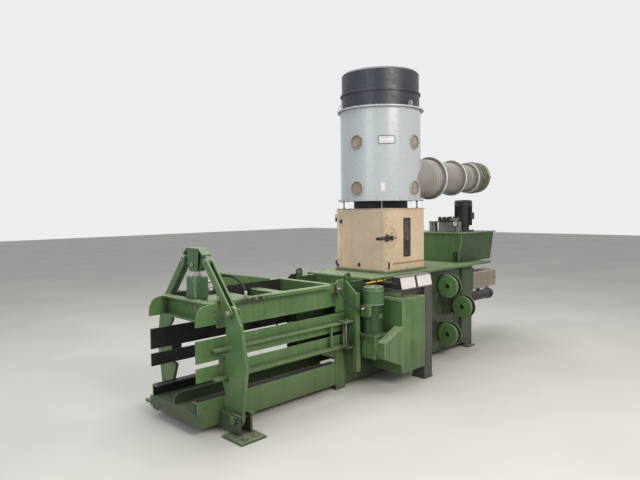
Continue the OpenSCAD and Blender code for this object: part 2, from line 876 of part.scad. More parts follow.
module deck() {
    edge_t = 8;
    color(green) difference() {
        union() {
            span([deck_x0, deck_x0 + deck_l], [-deck_half, deck_half], [top_z, deck_z]);
            span([deck_x0, deck_x0 + web_t], [-inner_y, inner_y], [deck_z - deck_beam, top_z]);
            span([chute_x0 - door_t - 2, chute_x1 + 20], [-chute_half - 20, chute_half + 20],
                 [deck_z, coaming_z]);
            both_sides() span([deck_x0, deck_x0 + deck_l], [deck_half - edge_t, deck_half],
                 [deck_z - deck_edge, top_z]);
        }
        span([chute_x0 + chute_t, chute_x1 - chute_t],
             [-chute_half + chute_t, chute_half - chute_t], [top_z - 1, coaming_z + 1]);
    }
}

module rear_wall() {
    color(dark_green) difference() {
        span([rear_x, rear_back], [-side_y, side_y], [0, top_z]);
        translate([0, 0, cylinder_z]) shaft_x(rear_x - 1, rear_back + 1, cylinder_r + 0.1);
    }
}

module main_cylinder() {
    end_x = rear_x + cylinder_l + rear_t;
    gland = 40;
    color(black) translate([0, 0, cylinder_z]) difference() {
        union() {
            shaft_x(rear_x, end_x, cylinder_r);
            shaft_x(rear_back, rear_back + 26, cylinder_r + 34);
            shaft_x(end_x - 70, end_x - 20, cylinder_r + 8);
        }
        shaft_x(rear_x + gland, end_x - 30, cylinder_bore_r);
        shaft_x(rear_x - 1, end_x - 40, main_rod_r + run_clear);
    }
}

module ram() {
    x0 = portal_x + ram_x;
    half = inner_y - ram_play;
    z0 = floor_z + 0.3;
    z1 = top_z - 8;
    wall = 20;
    rod_end = rear_x + cylinder_l - 60;
    color(dark_green) difference() {
        span([x0, x0 + ram_l], [-half, half], [z0, z1]);
        span([x0 + 40, x0 + ram_l + 1], [-half + wall, half - wall], [z0 + wall, z1 - wall]);
    }
    color(steel) translate([0, 0, cylinder_z]) {
        shaft_x(x0 + 40, rod_end, main_rod_r);
        shaft_x(rod_end - 60, rod_end - 10, cylinder_bore_r - 0.1);
    }
}

// Drive of the wire binder
module motor_body() {
    rib_depth = 7;
    rib_w = 3;
    color(green) translate([drive_cx, -drive_y, gear_top]) {
        cylinder(r = motor_r + 4, h = 14);
        translate([0, 0, 14]) linear_extrude(motor_h - 14) union() {
            circle(r = motor_r - rib_depth);
            for (k = [0:rib_count - 1]) rotate(360 * k / rib_count)
                translate([0, -rib_w / 2]) square([motor_r, rib_w]);
            translate([-motor_r - 2, -20]) square([20, 40]);
        }
        translate([0, 0, motor_h]) cylinder(r = fan_r - 10, h = 10);
    }
}

module fan_cover() {
    sheet = 3;
    crown = 18;
    color(green) translate([drive_cx, -drive_y, motor_top]) difference() {
        rotate_extrude() polygon(concat([[fan_r - 10, 0], [fan_r, 0]],
            [for (a = [0:15:90]) [fan_r - crown + crown * cos(a), fan_h - crown + crown * sin(a)]],
            [[0, fan_h + 4], [0, fan_h + 4 - sheet], [fan_r - crown, fan_h - sheet]],
            [[fan_r - sheet, fan_h - crown], [fan_r - sheet, 10], [fan_r - 10, 10]]));
        for (r = [30, 46, 62]) for (q = [0:3]) rotate(90 * q + 45)
            translate([0, 0, fan_h - 6]) rotate_extrude(angle = 60)
                translate([r, 0]) square([7, 20]);
    }
}

terminal_z = gear_top + 170;
module terminal_box() {
    color(green) {
        span([drive_cx - 112, drive_cx - motor_r - 2], [-drive_y - 45, -drive_y + 45],
             [terminal_z, terminal_z + 88]);
        span([drive_cx - 116, drive_cx - 112], [-drive_y - 48, -drive_y + 48],
             [terminal_z - 3, terminal_z + 91]);
    }
}

module gearbox() {
    half = gear_w / 2;
    color(green) {
        translate([drive_cx, -drive_y, gear_z]) linear_extrude(gear_h)
            offset(r = 10) square(gear_w - 20, center = true);
        translate([drive_cx, -drive_y, gear_z + gear_h]) linear_extrude(gear_plate_t)
            square(gear_w + 10, center = true);
        translate([drive_cx - 10, 0, gear_z + 90]) rotate([90, 0, 0]) translate([0, 0, gear_front_y])
            cylinder(r = output_r, h = output_t);
        for (x = [drive_cx - 68, drive_cx + 56])
            span([x, x + 12], [-gear_back_y, -side_y - 12], [gear_z + 15, gear_z + gear_h - 20]);
        span([drive_cx - 78, drive_cx + 78], [-side_y - 12, -side_y], [gear_z, gear_z + gear_h - 10]);
        span([drive_cx - 40, drive_cx + 40], [-drive_y - 60, -drive_y + 60], [gear_z - 14, gear_z]);
    }
}

// Wedge-shaped cover over the drive chain
module chain_guard() {
    rim = 8;
    outline = [[chain_x0, gear_z + 18], [chain_x0, gear_z + 154], [box_x0, gear_z + 261],
        [box_x0, gear_z - 91]];
    color(green) {
        along(-drive_guard_out, guard_w) polygon(outline);
        along(-drive_guard_out - 3, 3) offset(delta = -rim) polygon(outline);
    }
}

module guard_box() {
    color(green) {
        span([box_x0, box_x1], [-drive_guard_out, -side_y], [box_z, box_top]);
        span([box_x0 + 12, box_x1 - 12], [-drive_guard_out - 3, -drive_guard_out],
             [box_z + 12, box_top - 14]);
    }
}

module console_column() {
    arm_y = -drive_guard_out + desk_d / 2;
    color(violet) {
        span([box_x1, box_x1 + column_l], [-drive_guard_out, -drive_guard_out + column_d], [0, desk_z]);
        span([box_x1 - 290, box_x1], [arm_y, arm_y + 10], [box_top + 20, desk_z]);
    }
}

// Desk with a front that leans back
module console_desk() {
    x0 = box_x1 + column_l - desk_l;
    lean = 23;
    color(black) {
        across(x0, desk_l) polygon([[-drive_guard_out, desk_z], [-drive_guard_out + lean, desk_z + desk_h],
            [-drive_guard_out + lean + desk_d, desk_z + desk_h],
            [-drive_guard_out + desk_d, desk_z]]);
        span([x0 + 40, x0 + 110], [-drive_guard_out + desk_d, -side_y], [desk_z, desk_z + 50]);
    }
}

// Feed chute
window_x = chute_x0 + 297;
window_z = chute_z0 + 133;
module chute_body() {
    color(cream) difference() {
        union() {
            span([chute_x0, chute_x1], [-chute_half, chute_half], [chute_z0, chute_z1]);
            span([chute_x0, chute_x1 + 20], [-chute_half - 20, chute_half + 20],
                 [coaming_z, chute_z0]);
            span([chute_x0 - chute_lip, chute_x1 + chute_lip],
                 [-chute_half - chute_lip, chute_half + chute_lip], [chute_z1, chute_z1 + lip_plate_t]);
            span([chute_x0 + 108, chute_x1], [-chute_half - 3, -chute_half],
                 [chute_z0 + 59, chute_z0 + 75]);
            span([chute_x0, chute_x0 + 36], [-chute_half - 3, -chute_half], [chute_z0, chute_z1]);
            translate([chute_x0 + 73, -chute_half, chute_z0 + latch_z]) rotate([90, 0, 0])
                cylinder(r = latch_disc_r, h = 5);
        }
        span([chute_x0 + chute_t, chute_x1 - chute_t],
             [-chute_half + chute_t, chute_half - chute_t], [coaming_z - 1, chute_z1 - chute_t]);
        span([chute_x0 - 1, chute_x0 + chute_t + 1], [-chute_half + 30, chute_half - 30],
             [chute_z0 + 30, chute_z1 - 30]);
        translate([drum_x, 0, chute_z1 - chute_t - 1])
            cylinder(r = sleeve_r - sleeve_t, h = chute_t + lip_plate_t + 2);
        span([window_x, window_x + window_w], [-chute_half - 1, -chute_half + chute_t + 1],
             [window_z, window_z + window_h]);
        span([chute_x0 + 42, chute_x0 + 70], [-chute_half - 1, -chute_half + chute_t + 1],
             [chute_z0 + 14, chute_z0 + 82]);
    }
}

module chute_window() {
    color(black) span([window_x - 12, window_x + window_w + 12],
        [-chute_half + chute_t, -chute_half + chute_t + 4], [window_z - 12, window_z + window_h + 12]);
}

// Hinge of the chute door: pins and fixed knuckles on the far corner
door_axis_x = chute_x0 - 6;
door_axis_y = chute_half + 12;
module door_hinges() {
    color(black) for (z = [chute_z0 + 32, chute_z0 + 472]) {
        translate([door_axis_x, door_axis_y, z]) {
            cylinder(r = 6, h = 80);
            cylinder(r = 11, h = 39);
        }
        span([door_axis_x + 6, chute_x0 + 45], [chute_half, chute_half + 4], [z, z + 39]);
        span([door_axis_x, door_axis_x + 12], [chute_half + 1, chute_half + 4], [z, z + 39]);
    }
}

module chute_door() {
    x0 = chute_x0 - 1 - door_t;
    color(cream) {
        span([x0, x0 + door_t], [-chute_half + 2, chute_half - 4], [chute_z0 + 4, chute_z1 - 4]);
        for (z = [chute_z0 + 72, chute_z0 + 512]) difference() {
            union() {
                translate([door_axis_x, door_axis_y, z]) cylinder(r = 11, h = 39);
                span([x0 - 5, x0], [chute_half - 60, chute_half + 4], [z, z + 39]);
                span([x0 - 5, door_axis_x - 3], [chute_half - 3, chute_half + 8], [z, z + 39]);
            }
            translate([door_axis_x, door_axis_y, z - 1]) cylinder(r = 6 + run_clear, h = 41);
        }
    }
}

module door_latch() {
    px = chute_x0 + 73;
    pz = chute_z0 + latch_z;
    bar_h = 30;
    color(black) {
        translate([px, -chute_half - 5.3, pz]) rotate([90, 0, 0]) cylinder(r = 20, h = 26);
        along(-chute_half - 31, 12) hull() {
            translate([px, pz]) circle(r = bar_h / 2, $fn = 32);
            translate([px + 55 - latch_l, pz]) circle(r = bar_h / 2, $fn = 32);
            translate([px + 40, pz]) circle(r = bar_h / 3, $fn = 32);
        }
    }
}

// Drum over the chute
module drum_sleeve() {
    color(black) translate([drum_x, 0, chute_z1 + lip_plate_t]) difference() {
        cylinder(r = sleeve_r, h = drum_gap);
        translate([0, 0, -1]) cylinder(r = sleeve_r - sleeve_t, h = drum_gap + 2);
    }
}

module spacer_rods() {
    dx = chute_l / 2 - 30;
    dy = chute_half - 66;
    color(steel) for (sx = [-1, 1]) for (sy = [-1, 1])
        translate([drum_x + sx * dx, sy * dy, chute_z1 + lip_plate_t])
            cylinder(r = spacer_r, h = drum_gap);
}

// The duct's own frame: along +Z from where it leaves the drum
module duct_frame() {
    translate([drum_x, -duct_y, drum_z + duct_h]) rotate([0, 90 - duct_rise, 0]) children();
}
ring1 = 575;
ring2 = 1010;
ring3 = 1334;
coupling_0 = 1368;
coupling_l = 212;

module port_axes() {
    for (a = [185.4, 272.5]) for (z = [port_low, port_high])
        translate([drum_x, 0, drum_z + z]) rotate([0, 90, a]) children();
}

module drum_shell() {
    color(grey) difference() {
        translate([drum_x, 0, drum_z]) rotate_extrude() polygon([
            [sleeve_r - sleeve_t, 0], [rim_r, 0], [rim_r, rim_t], [drum_r, rim_t],
            [drum_r, drum_h - rim_t], [rim_r, drum_h - rim_t], [rim_r, drum_h],
            [drum_r - 40, drum_h], [drum_r - 40, drum_h - rim_t], [drum_r - drum_t, drum_h - rim_t],
            [drum_r - drum_t, rim_t], [sleeve_r - sleeve_t, rim_t]], $fn = 120);
        port_axes() translate([0, 0, drum_r - 40]) cylinder(r = port_r, h = 60);
        duct_frame() cylinder(r = duct_r1 - duct_t, h = 600, $fn = 120);
    }
}

module porthole_rings() {
    color(cream) difference() {
        port_axes() translate([0, 0, drum_r - 20]) difference() {
            cylinder(r = port_r + 13, h = 30);
            translate([0, 0, -1]) cylinder(r = port_r, h = 40);
        }
        translate([drum_x, 0, drum_z]) cylinder(r = drum_r, h = drum_h, $fn = 120);
    }
}

module porthole_panes() {
    color(black) port_axes() translate([0, 0, drum_r - 12]) cylinder(r = port_r - 0.3, h = 14);
}

module drum_head() {
    wall = 5;
    color(navy) translate([drum_x, 0, drum_top]) rotate_extrude() polygon([
        [head_r - wall, 0], [head_r + 20, 0], [head_r + 20, 10], [head_r, 10], [head_r, 140],
        [head_r + 12, 140], [head_r + 12, 158], [head_r - 4, 158], [head_r - 4, drum_head_h - 20],
        [head_r - 24, drum_head_h], [0, drum_head_h], [0, drum_head_h - wall],
        [head_r - 26, drum_head_h - wall], [head_r - 9, drum_head_h - 22],
        [head_r - 9, 150], [head_r - wall, 145]], $fn = 120);
}

module duct_sections() {
    joint = 0.5;
    taper_r = duct_r1 - 8;
    flange_t = 12;
    color(grey) {
        difference() {
            duct_frame() rotate_extrude($fn = 120) polygon([[duct_r1 - duct_t, 60], [duct_r1, 60],
                [duct_r1, ring1], [duct_r1 - duct_t, ring1]]);
            translate([drum_x, 0, drum_z]) cylinder(r = drum_r, h = drum_h, $fn = 360);
        }
        duct_frame() rotate_extrude($fn = 120) polygon([[duct_r1 - duct_t, ring1 + joint],
            [duct_r1, ring1 + joint], [taper_r, ring1 + 57], [duct_r2, ring1 + 373],
            [duct_r2, ring2], [duct_r2 - duct_t, ring2], [duct_r2 - duct_t, ring1 + 373],
            [taper_r - duct_t, ring1 + 57]]);
        duct_frame() rotate_extrude($fn = 120) polygon([[duct_r3 - duct_t, ring2 + joint],
            [duct_r2, ring2 + joint], [duct_r2, ring2 + flange_t], [duct_r3, ring2 + flange_t],
            [duct_r3, coupling_0 - flange_t], [coupling_r, coupling_0 - flange_t],
            [coupling_r, coupling_0], [duct_r3 - duct_t, coupling_0]]);
    }
}

module duct_clamps() {
    stations = [[ring1, duct_r1], [ring2, duct_r2], [ring3, duct_r3]];
    color(grey) duct_frame() for (s = stations)
        rotate_extrude($fn = 120) polygon([[s[1] + 0.2, s[0] - 12], [s[1] + clamp_h, s[0] - 12],
            [s[1] + clamp_h, s[0] - 2], [s[1] + 6, s[0] - 2], [s[1] + 6, s[0] + 2],
            [s[1] + clamp_h, s[0] + 2], [s[1] + clamp_h, s[0] + 12], [s[1] + 0.2, s[0] + 12]]);
}

module duct_coupling() {
    color(olive) duct_frame() rotate_extrude($fn = 120) polygon([[coupling_r - 6, coupling_0],
        [coupling_r, coupling_0], [coupling_r, coupling_0 + 60],
        [coupling_r + 8, coupling_0 + 62], [coupling_r + 8, coupling_0 + 78],
        [coupling_r, coupling_0 + 80], [coupling_r, coupling_0 + coupling_l],
        [coupling_r - 6, coupling_0 + coupling_l]]);
}

// Oil supply
module oil_tank() {
    rim = 12;
    color(green) {
        translate([0, 0, deck_z]) across(tank_x0, tank_l) polygon([[-tank_foot, 0],
            [-tank_top, tank_h - rim], [tank_top, tank_h - rim], [tank_foot, 0]]);
        span([tank_x0 - rim, tank_x0 + tank_l + rim], [-tank_top - 26, tank_top + 26],
             [deck_z + tank_h - rim, deck_z + tank_h]);
    }
}

module pump_motor() {
    r = 105;
    x = tank_x0 + 430;
    z = deck_z + tank_h;
    color(black) translate([x, -60, z]) {
        cylinder(r = r + 25, h = 12);
        translate([0, 0, 12]) cylinder(r = 70, h = 60);
        translate([0, 0, 72]) linear_extrude(230) union() {
            circle(r = r - 8);
            for (k = [0:27]) rotate(360 * k / 28) translate([0, -1.5]) square([r, 3]);
        }
        translate([0, 0, 302]) rotate_extrude() polygon([[0, 0], [r, 0], [r, 60], [r - 12, 74],
            [0, 78]]);
    }
}

module valve_block() {
    x = tank_x0 + 120;
    z = deck_z + tank_h;
    color(steel) {
        span([x, x + 150], [-130, 90], [z, z + 120]);
        for (y = [-100, -40, 20]) span([x + 20, x + 130], [y, y + 46], [z + 120, z + 166]);
        for (y = [-77, -17, 43]) translate([0, y, z + 143]) {
            shaft_x(x - 50, x + 20, 20);
            shaft_x(x + 130, x + 190, 20);
        }
    }
    color(black) translate([x + 60, 200, z]) {
        cylinder(r = 50, h = 110);
        translate([0, 0, 110]) cylinder(r = 58, h = 16);
    }
}

module electrical_box() {
    x0 = rear_back + ebox_gap;
    y0 = -side_y;
    color(cream) {
        span([x0, x0 + ebox_l], [y0, y0 + 150], [ebox_z, ebox_z + ebox_h]);
        span([rear_back, x0 + ebox_l], [y0, y0 + 150], [ebox_z - 12, ebox_z]);
        span([x0 + 10, x0 + ebox_l - 10], [y0 - 4, y0], [ebox_z + 10, ebox_z + ebox_h - 10]);
    }
}

// Wire wheels on stub axles
module wheel(x, z) {
    groove = 28;
    color(green) translate([x, -wheel_y, z]) rotate([0, 90, 0]) rotate_extrude() polygon([
        [wheel_bore_r + 0.08, 0], [wheel_r - 8, 0], [wheel_r, 6], [wheel_r, 14],
        [wheel_r - groove, 24], [wheel_r - groove, wheel_w - 24], [wheel_r, wheel_w - 14],
        [wheel_r, wheel_w - 6], [wheel_r - 8, wheel_w], [wheel_bore_r + 0.08, wheel_w]]);
}
module wheel_upper() { wheel(wheel_x0, wheel_z1); }
module wheel_lower() { wheel(wheel_x0, wheel_z2); }
module wheel_rear() { wheel(wheel_x0 + wheel_step, wheel_z3); }

module wheel_carrier() {
    stations = [[wheel_x0, wheel_z1], [wheel_x0, wheel_z2], [wheel_x0 + wheel_step, wheel_z3]];
    plate_t = 12;
    reach = wheel_y + 50;
    color(dark_green) for (s = stations) {
        x1 = s[0] + wheel_w + 8;
        across(x1, plate_t) polygon([[-side_y, s[1] - 110], [-side_y, s[1] + 110],
            [-reach, s[1] + 45], [-reach, s[1] - 45]]);
    }
    color(black) for (s = stations) translate([0, -wheel_y, s[1]]) {
        shaft_x(s[0] + 18, s[0] + wheel_w + 8, wheel_bore_r);
        shaft_x(s[0] + wheel_w + 0.4, s[0] + wheel_w + 8, wheel_bore_r + 10);
    }
}

// Hoses and the motor cable, each held at both ends. A fitting's length, then the point where
// the hose leaves it
fitting_l = 20;
hose_r = 10;
cable_r = 8;
upper_port = [housing_w / 2 + fitting_l, -20, housing_top - 42];
lower_port = [housing_w / 2 + fitting_l, -42, housing_top - 105];
beam_port = [194, -web_y - 25, top_z + fitting_l];
roof_port = [140, -70, roof_z + fitting_l];
portal_port = [portal_x - 95, -web_y - fitting_l, top_z - 49];
motor_port = [drive_cx - 116 - fitting_l, -drive_y, terminal_z + 68];

// From port a to port b: a straight stub at each end, and a bow led by the two lead vectors
function hose_points(a, stub_a, lead_a, b, stub_b, lead_b, n = 9) =
    let (p = a + stub_a, q = b + stub_b) concat([a], [for (i = [0:n]) let (t = i / n, s = 1 - t)
        s ^ 3 * p + 3 * s ^ 2 * t * (p + lead_a) + 3 * s * t ^ 2 * (q + lead_b) + t ^ 3 * q], [b]);

module squeeze_hoses() {
    color(black) {
        tube(hose_points(upper_port, [18, 0, 0], [80, -60, 75], beam_port, [0, 0, 20],
            [-4, 55, 130]), hose_r, [0, 0, 1]);
        tube(hose_points(lower_port, [17, 0, 0], [30, -12, 0], roof_port, [0, 0, 20],
            [0, 0, 35]), hose_r, [0, 0, 1]);
    }
}

module motor_cable() {
    color(black) tube(hose_points(portal_port, [0, -16, 0], [-55, -48, -16], motor_port,
        [-24, 0, 0], [-136, 18, 2]), cable_r, [0, 0, 1]);
}

module hose_fittings() {
    color(steel) {
        for (p = [upper_port, lower_port])
            translate([0, p[1], p[2]]) shaft_x(p[0] - fitting_l, p[0], 13, $fn = 6);
        for (p = [beam_port, roof_port])
            translate(p - [0, 0, fitting_l]) cylinder(r = 14, h = fitting_l, $fn = 6);
        translate(portal_port + [0, fitting_l, 0]) rotate([90, 0, 0])
            cylinder(r = 12, h = fitting_l, $fn = 6);
        translate([0, motor_port[1], motor_port[2]])
            shaft_x(motor_port[0], motor_port[0] + fitting_l, 12, $fn = 6);
    }
}

cross_plates();
floor_feet();
fixed_pins();
lower_beams();
center_rail();
side_beams();
front_beam();
roof_front_plate();
roof_cross_member();
roof_rear_plate();
hose_guard();
squeeze_cylinder();
portal_wings();
press_sides();
channel_floor();
deck();
rear_wall();
main_cylinder();
motor_body();
fan_cover();
terminal_box();
gearbox();
chain_guard();
guard_box();
console_column();
console_desk();
chute_body();
chute_window();
door_hinges();
drum_sleeve();
spacer_rods();
drum_shell();
porthole_rings();
porthole_panes();
drum_head();
duct_sections();
duct_clamps();
duct_coupling();
oil_tank();
pump_motor();
valve_block();
electrical_box();
wheel_carrier();
squeeze_hoses();
motor_cable();
hose_fittings();
crosshead();
crosshead_rod();
link_near();
link_far();
lever_near();
lever_far();
rails_near();
rails_far();
ram();
chute_door();
door_latch();
wheel_upper();
wheel_lower();
wheel_rear();
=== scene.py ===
# Recycling baler, dressed around its fixed frame.
# Metres. +X runs back along the press, +Z is up, and -Y is the operator's side.
import json
import math
import bmesh
import bpy
import numpy as np
from mathutils import Matrix, Vector

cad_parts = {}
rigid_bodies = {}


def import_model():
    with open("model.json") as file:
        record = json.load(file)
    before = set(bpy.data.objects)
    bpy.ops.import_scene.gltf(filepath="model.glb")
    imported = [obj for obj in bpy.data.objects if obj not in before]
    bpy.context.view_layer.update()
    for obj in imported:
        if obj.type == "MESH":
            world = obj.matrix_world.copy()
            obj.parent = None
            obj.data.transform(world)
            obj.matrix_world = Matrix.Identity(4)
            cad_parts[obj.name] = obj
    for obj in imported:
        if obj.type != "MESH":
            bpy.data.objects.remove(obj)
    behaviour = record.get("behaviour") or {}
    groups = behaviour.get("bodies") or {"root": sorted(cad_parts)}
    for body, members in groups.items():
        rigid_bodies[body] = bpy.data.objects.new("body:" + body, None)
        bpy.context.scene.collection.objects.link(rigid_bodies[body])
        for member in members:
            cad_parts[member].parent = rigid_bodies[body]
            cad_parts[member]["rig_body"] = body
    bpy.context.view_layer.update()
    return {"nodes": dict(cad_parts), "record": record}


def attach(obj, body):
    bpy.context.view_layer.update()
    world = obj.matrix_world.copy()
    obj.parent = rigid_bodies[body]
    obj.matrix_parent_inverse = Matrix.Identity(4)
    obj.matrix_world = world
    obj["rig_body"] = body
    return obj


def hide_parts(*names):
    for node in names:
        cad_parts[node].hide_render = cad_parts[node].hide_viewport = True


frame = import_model()
nodes = frame["nodes"]
frameSlots = {s["node"]: s["material_slot"] for s in frame["record"]["subparts"]}
print("frame loaded,", len(nodes), "nodes")

# Camera at the photograph's place; angles in degrees, lens and sensor in millimetres
camera = dict(place=(-2.32, -3.66, 1.60), yaw=44.857, pitch=3.240, roll=0.639,
              lens=31.45, sensor=36, farthest=60)


def makeCamera(view):
    # It looks along (sin yaw cos pitch, cos yaw cos pitch, -sin pitch), and the roll turns the picture
    yaw, pitch, roll = (math.radians(view[k]) for k in ("yaw", "pitch", "roll"))
    ahead = Vector((math.sin(yaw) * math.cos(pitch), math.cos(yaw) * math.cos(pitch), -math.sin(pitch)))
    right = Vector((math.cos(yaw), -math.sin(yaw), 0))
    under = ahead.cross(right)
    x = math.cos(roll) * right + math.sin(roll) * under
    y = math.sin(roll) * right - math.cos(roll) * under
    data = bpy.data.cameras.new("camera")
    data.lens = view["lens"]
    data.sensor_width = view["sensor"]
    data.clip_end = view["farthest"]
    holder = bpy.data.objects.new("camera", data)
    holder.matrix_world = Matrix.Translation(view["place"]) @ Matrix((x, y, -ahead)).transposed().to_4x4()
    bpy.context.scene.collection.objects.link(holder)
    bpy.context.scene.camera = holder


makeCamera(camera)


# Material helpers
def put(tree, kind, values=None, **settings):
    # A new shader node: a value that is a socket is linked, and any other is typed in
    n = tree.nodes.new(kind)
    for key, value in settings.items():
        setattr(n, key, value)
    for key, value in (values or {}).items():
        if isinstance(value, bpy.types.NodeSocket):
            tree.links.new(value, n.inputs[key])
        else:
            n.inputs[key].default_value = value
    return n


def startMaterial(name):
    # A new material, with its tree, its surface shader and the place on the object
    m = bpy.data.materials.new(name)
    m.use_nodes = True
    bsdf = m.node_tree.nodes["Principled BSDF"]
    place = put(m.node_tree, "ShaderNodeTexCoord").outputs["Object"]
    return m, m.node_tree, bsdf, place


def noise(tree, place, scale, detail=3.0, stretch=None):
    # Noise of one size; a stretch makes it finer along an axis by that factor
    if stretch:
        place = put(tree, "ShaderNodeMapping", {"Vector": place, "Scale": stretch}).outputs[0]
    return put(tree, "ShaderNodeTexNoise", {"Vector": place, "Scale": scale, "Detail": detail}).outputs[0]


def between(tree, value, low, high, to=(0.0, 1.0)):
    # The value's share of the way from low to high, at most 0 to 1, spread over the two values of to
    return put(tree, "ShaderNodeMapRange", {
        "Value": value, "From Min": low, "From Max": high, "To Min": to[0], "To Max": to[1]}).outputs[0]


def maths(tree, operation, a, b=0.5):
    # One sum, product or other operation on two values, sockets or numbers
    return put(tree, "ShaderNodeMath", {0: a, 1: b}, operation=operation).outputs[0]


def times(tree, a, b):
    # a * b
    return maths(tree, "MULTIPLY", a, b)


def mixColours(tree, share, a, b):
    # (1 - share) * a + share * b
    n = put(tree, "ShaderNodeMix", data_type="RGBA", blend_type="MIX")
    for key, value in ((0, share), (6, a), (7, b)):
        if isinstance(value, bpy.types.NodeSocket):
            tree.links.new(value, n.inputs[key])
        else:
            n.inputs[key].default_value = (*value, 1.0) if isinstance(value, tuple) else value
    return n.outputs[2]


def layer(tree, shade, mask, amount, colour):
    # The colour over the shade, by mask * amount
    return mixColours(tree, times(tree, mask, amount), shade, colour)


def bumpFrom(tree, bsdf, height, strength, distance):
    # The surface's normal tilted by the slope of the height
    n = put(tree, "ShaderNodeBump", {"Height": height, "Strength": strength, "Distance": distance})
    tree.links.new(n.outputs[0], bsdf.inputs["Normal"])


def shaded(colour, by):
    # The colour times a factor, held to 0.9 at most
    return tuple(min(c * by, 0.9) for c in colour)


# Old shop paint: each noise as scale and detail, some with a stretch, then the colours of the dirt and wear;
# the dust also paints top light, the grime and floor dirt also paint shade
paintLook = dict(
    broad=(1.9, 4), patch=(7.5, 5), fine=(26, 5), grain=(260, 2), spots=(55, 6), chips=(34, 6),
    runs=(1.0, 5, (19, 19, 1.3)), scratches=(1.0, 3, (9, 9, 130)), drips=(1.0, 3, (52, 52, 5)),
    dustAndTopLight=(0.42, 0.45, 0.30), grimeAndShade=(0.028, 0.028, 0.018), oil=(0.022, 0.018, 0.012), bare=(0.30, 0.30, 0.27),
    cornerReach=0.09, floorDirtAndShade=(0.055, 0.052, 0.035), lowDirtAndShadeTop=0.42, lowDirtAndShadeShare=0.55)


def paint(name, colour, faded, dustAndTopLight=0.5, grimeAndShade=0.8, runs=0.4, gloss=0.42, chips=0.0, spots=0.5, patchy=0.35,
          stainsAndShadows=(), grit=0.12):
    # The colour fades into the paler one, and each kind of wear, painted shade and painted top light lies
    # over it where its own mask is
    m, tree, bsdf, place = startMaterial(name)
    kinds = ("broad", "patch", "fine", "grain", "spots", "runs", "scratches")
    wear = {k: noise(tree, place, *paintLook[k]) for k in kinds}
    fine = wear["fine"]
    shade = mixColours(tree, between(tree, wear["broad"], 0.35, 0.68), colour, faded)
    shade = layer(tree, shade, between(tree, wear["patch"], 0.50, 0.72), patchy, shaded(faded, 1.25))
    shade = layer(tree, shade, between(tree, wear["runs"], 0.50, 0.72), runs, shaded(colour, 0.42))
    shade = layer(tree, shade, between(tree, wear["scratches"], 0.69, 0.73), patchy, shaded(faded, 1.9))
    # Dust on the faces that look up, which also paints the light from above on them
    normal = put(tree, "ShaderNodeNewGeometry").outputs["Normal"]
    level = put(tree, "ShaderNodeSeparateXYZ", {0: normal}).outputs[2]
    dustAndTopLightMask = times(tree, between(tree, level, 0.5, 0.95), between(tree, fine, 0.30, 0.62, (0.35, 1)))
    shade = layer(tree, shade, dustAndTopLightMask, dustAndTopLight, paintLook["dustAndTopLight"])
    # Grime in the corners, found by ambient occlusion: grime and painted shade
    space = put(tree, "ShaderNodeAmbientOcclusion", {"Distance": paintLook["cornerReach"]},
                samples=6).outputs["AO"]
    cornerGrimeAndShade = times(tree, between(tree, space, 0.80, 0.28), between(tree, fine, 0.30, 0.55, (0.4, 1)))
    shade = layer(tree, shade, cornerGrimeAndShade, grimeAndShade, paintLook["grimeAndShade"])
    # Darker towards the floor, less and less up to the top height: floor dirt and painted shade
    height = put(tree, "ShaderNodeSeparateXYZ", {0: place}).outputs[2]
    lowDirtAndShadeMask = times(tree, between(tree, height, paintLook["lowDirtAndShadeTop"], 0.0),
                    between(tree, wear["patch"], 0.30, 0.62, (0.55, 1)))
    shade = layer(tree, shade, lowDirtAndShadeMask, paintLook["lowDirtAndShadeShare"], paintLook["floorDirtAndShade"])
    shade = layer(tree, shade, between(tree, wear["spots"], 0.65, 0.71), spots, shaded(colour, 0.3))
    if chips:
        bare = between(tree, noise(tree, place, *paintLook["chips"]), 0.55, 0.60)
        shade = layer(tree, shade, bare, chips, paintLook["bare"])
    rough = maths(tree, "ADD", between(tree, fine, 0.3, 0.7, (gloss - 0.08, gloss + 0.12)),
                  times(tree, dustAndTopLightMask, 0.25))
    drips = noise(tree, place, *paintLook["drips"]) if stainsAndShadows else None
    for centre, reach, strength in stainsAndShadows:
        # An oil stain, and on the dark green the painted shadow behind the wheels: strongest at its centre,
        # gone one reach away, broken up into drips
        size = tuple(1.0 / r for r in reach)
        offset = tuple(-c / r for c, r in zip(centre, reach))
        near = put(tree, "ShaderNodeMapping", {"Vector": place, "Location": offset, "Scale": size}).outputs[0]
        away = put(tree, "ShaderNodeVectorMath", {0: near}, operation="LENGTH").outputs["Value"]
        stainAndShadow = times(tree, between(tree, away, 1.0, 0.45), between(tree, drips, 0.40, 0.52))
        stainAndShadow = times(tree, stainAndShadow, strength)
        shade = mixColours(tree, stainAndShadow, shade, paintLook["oil"])
        rough = maths(tree, "SUBTRACT", rough, times(tree, stainAndShadow, 0.25))
    tree.links.new(shade, bsdf.inputs["Base Color"])
    tree.links.new(rough, bsdf.inputs["Roughness"])
    bumpFrom(tree, bsdf, maths(tree, "ADD", times(tree, wear["grain"], 0.3), fine), grit, 0.002)
    return m


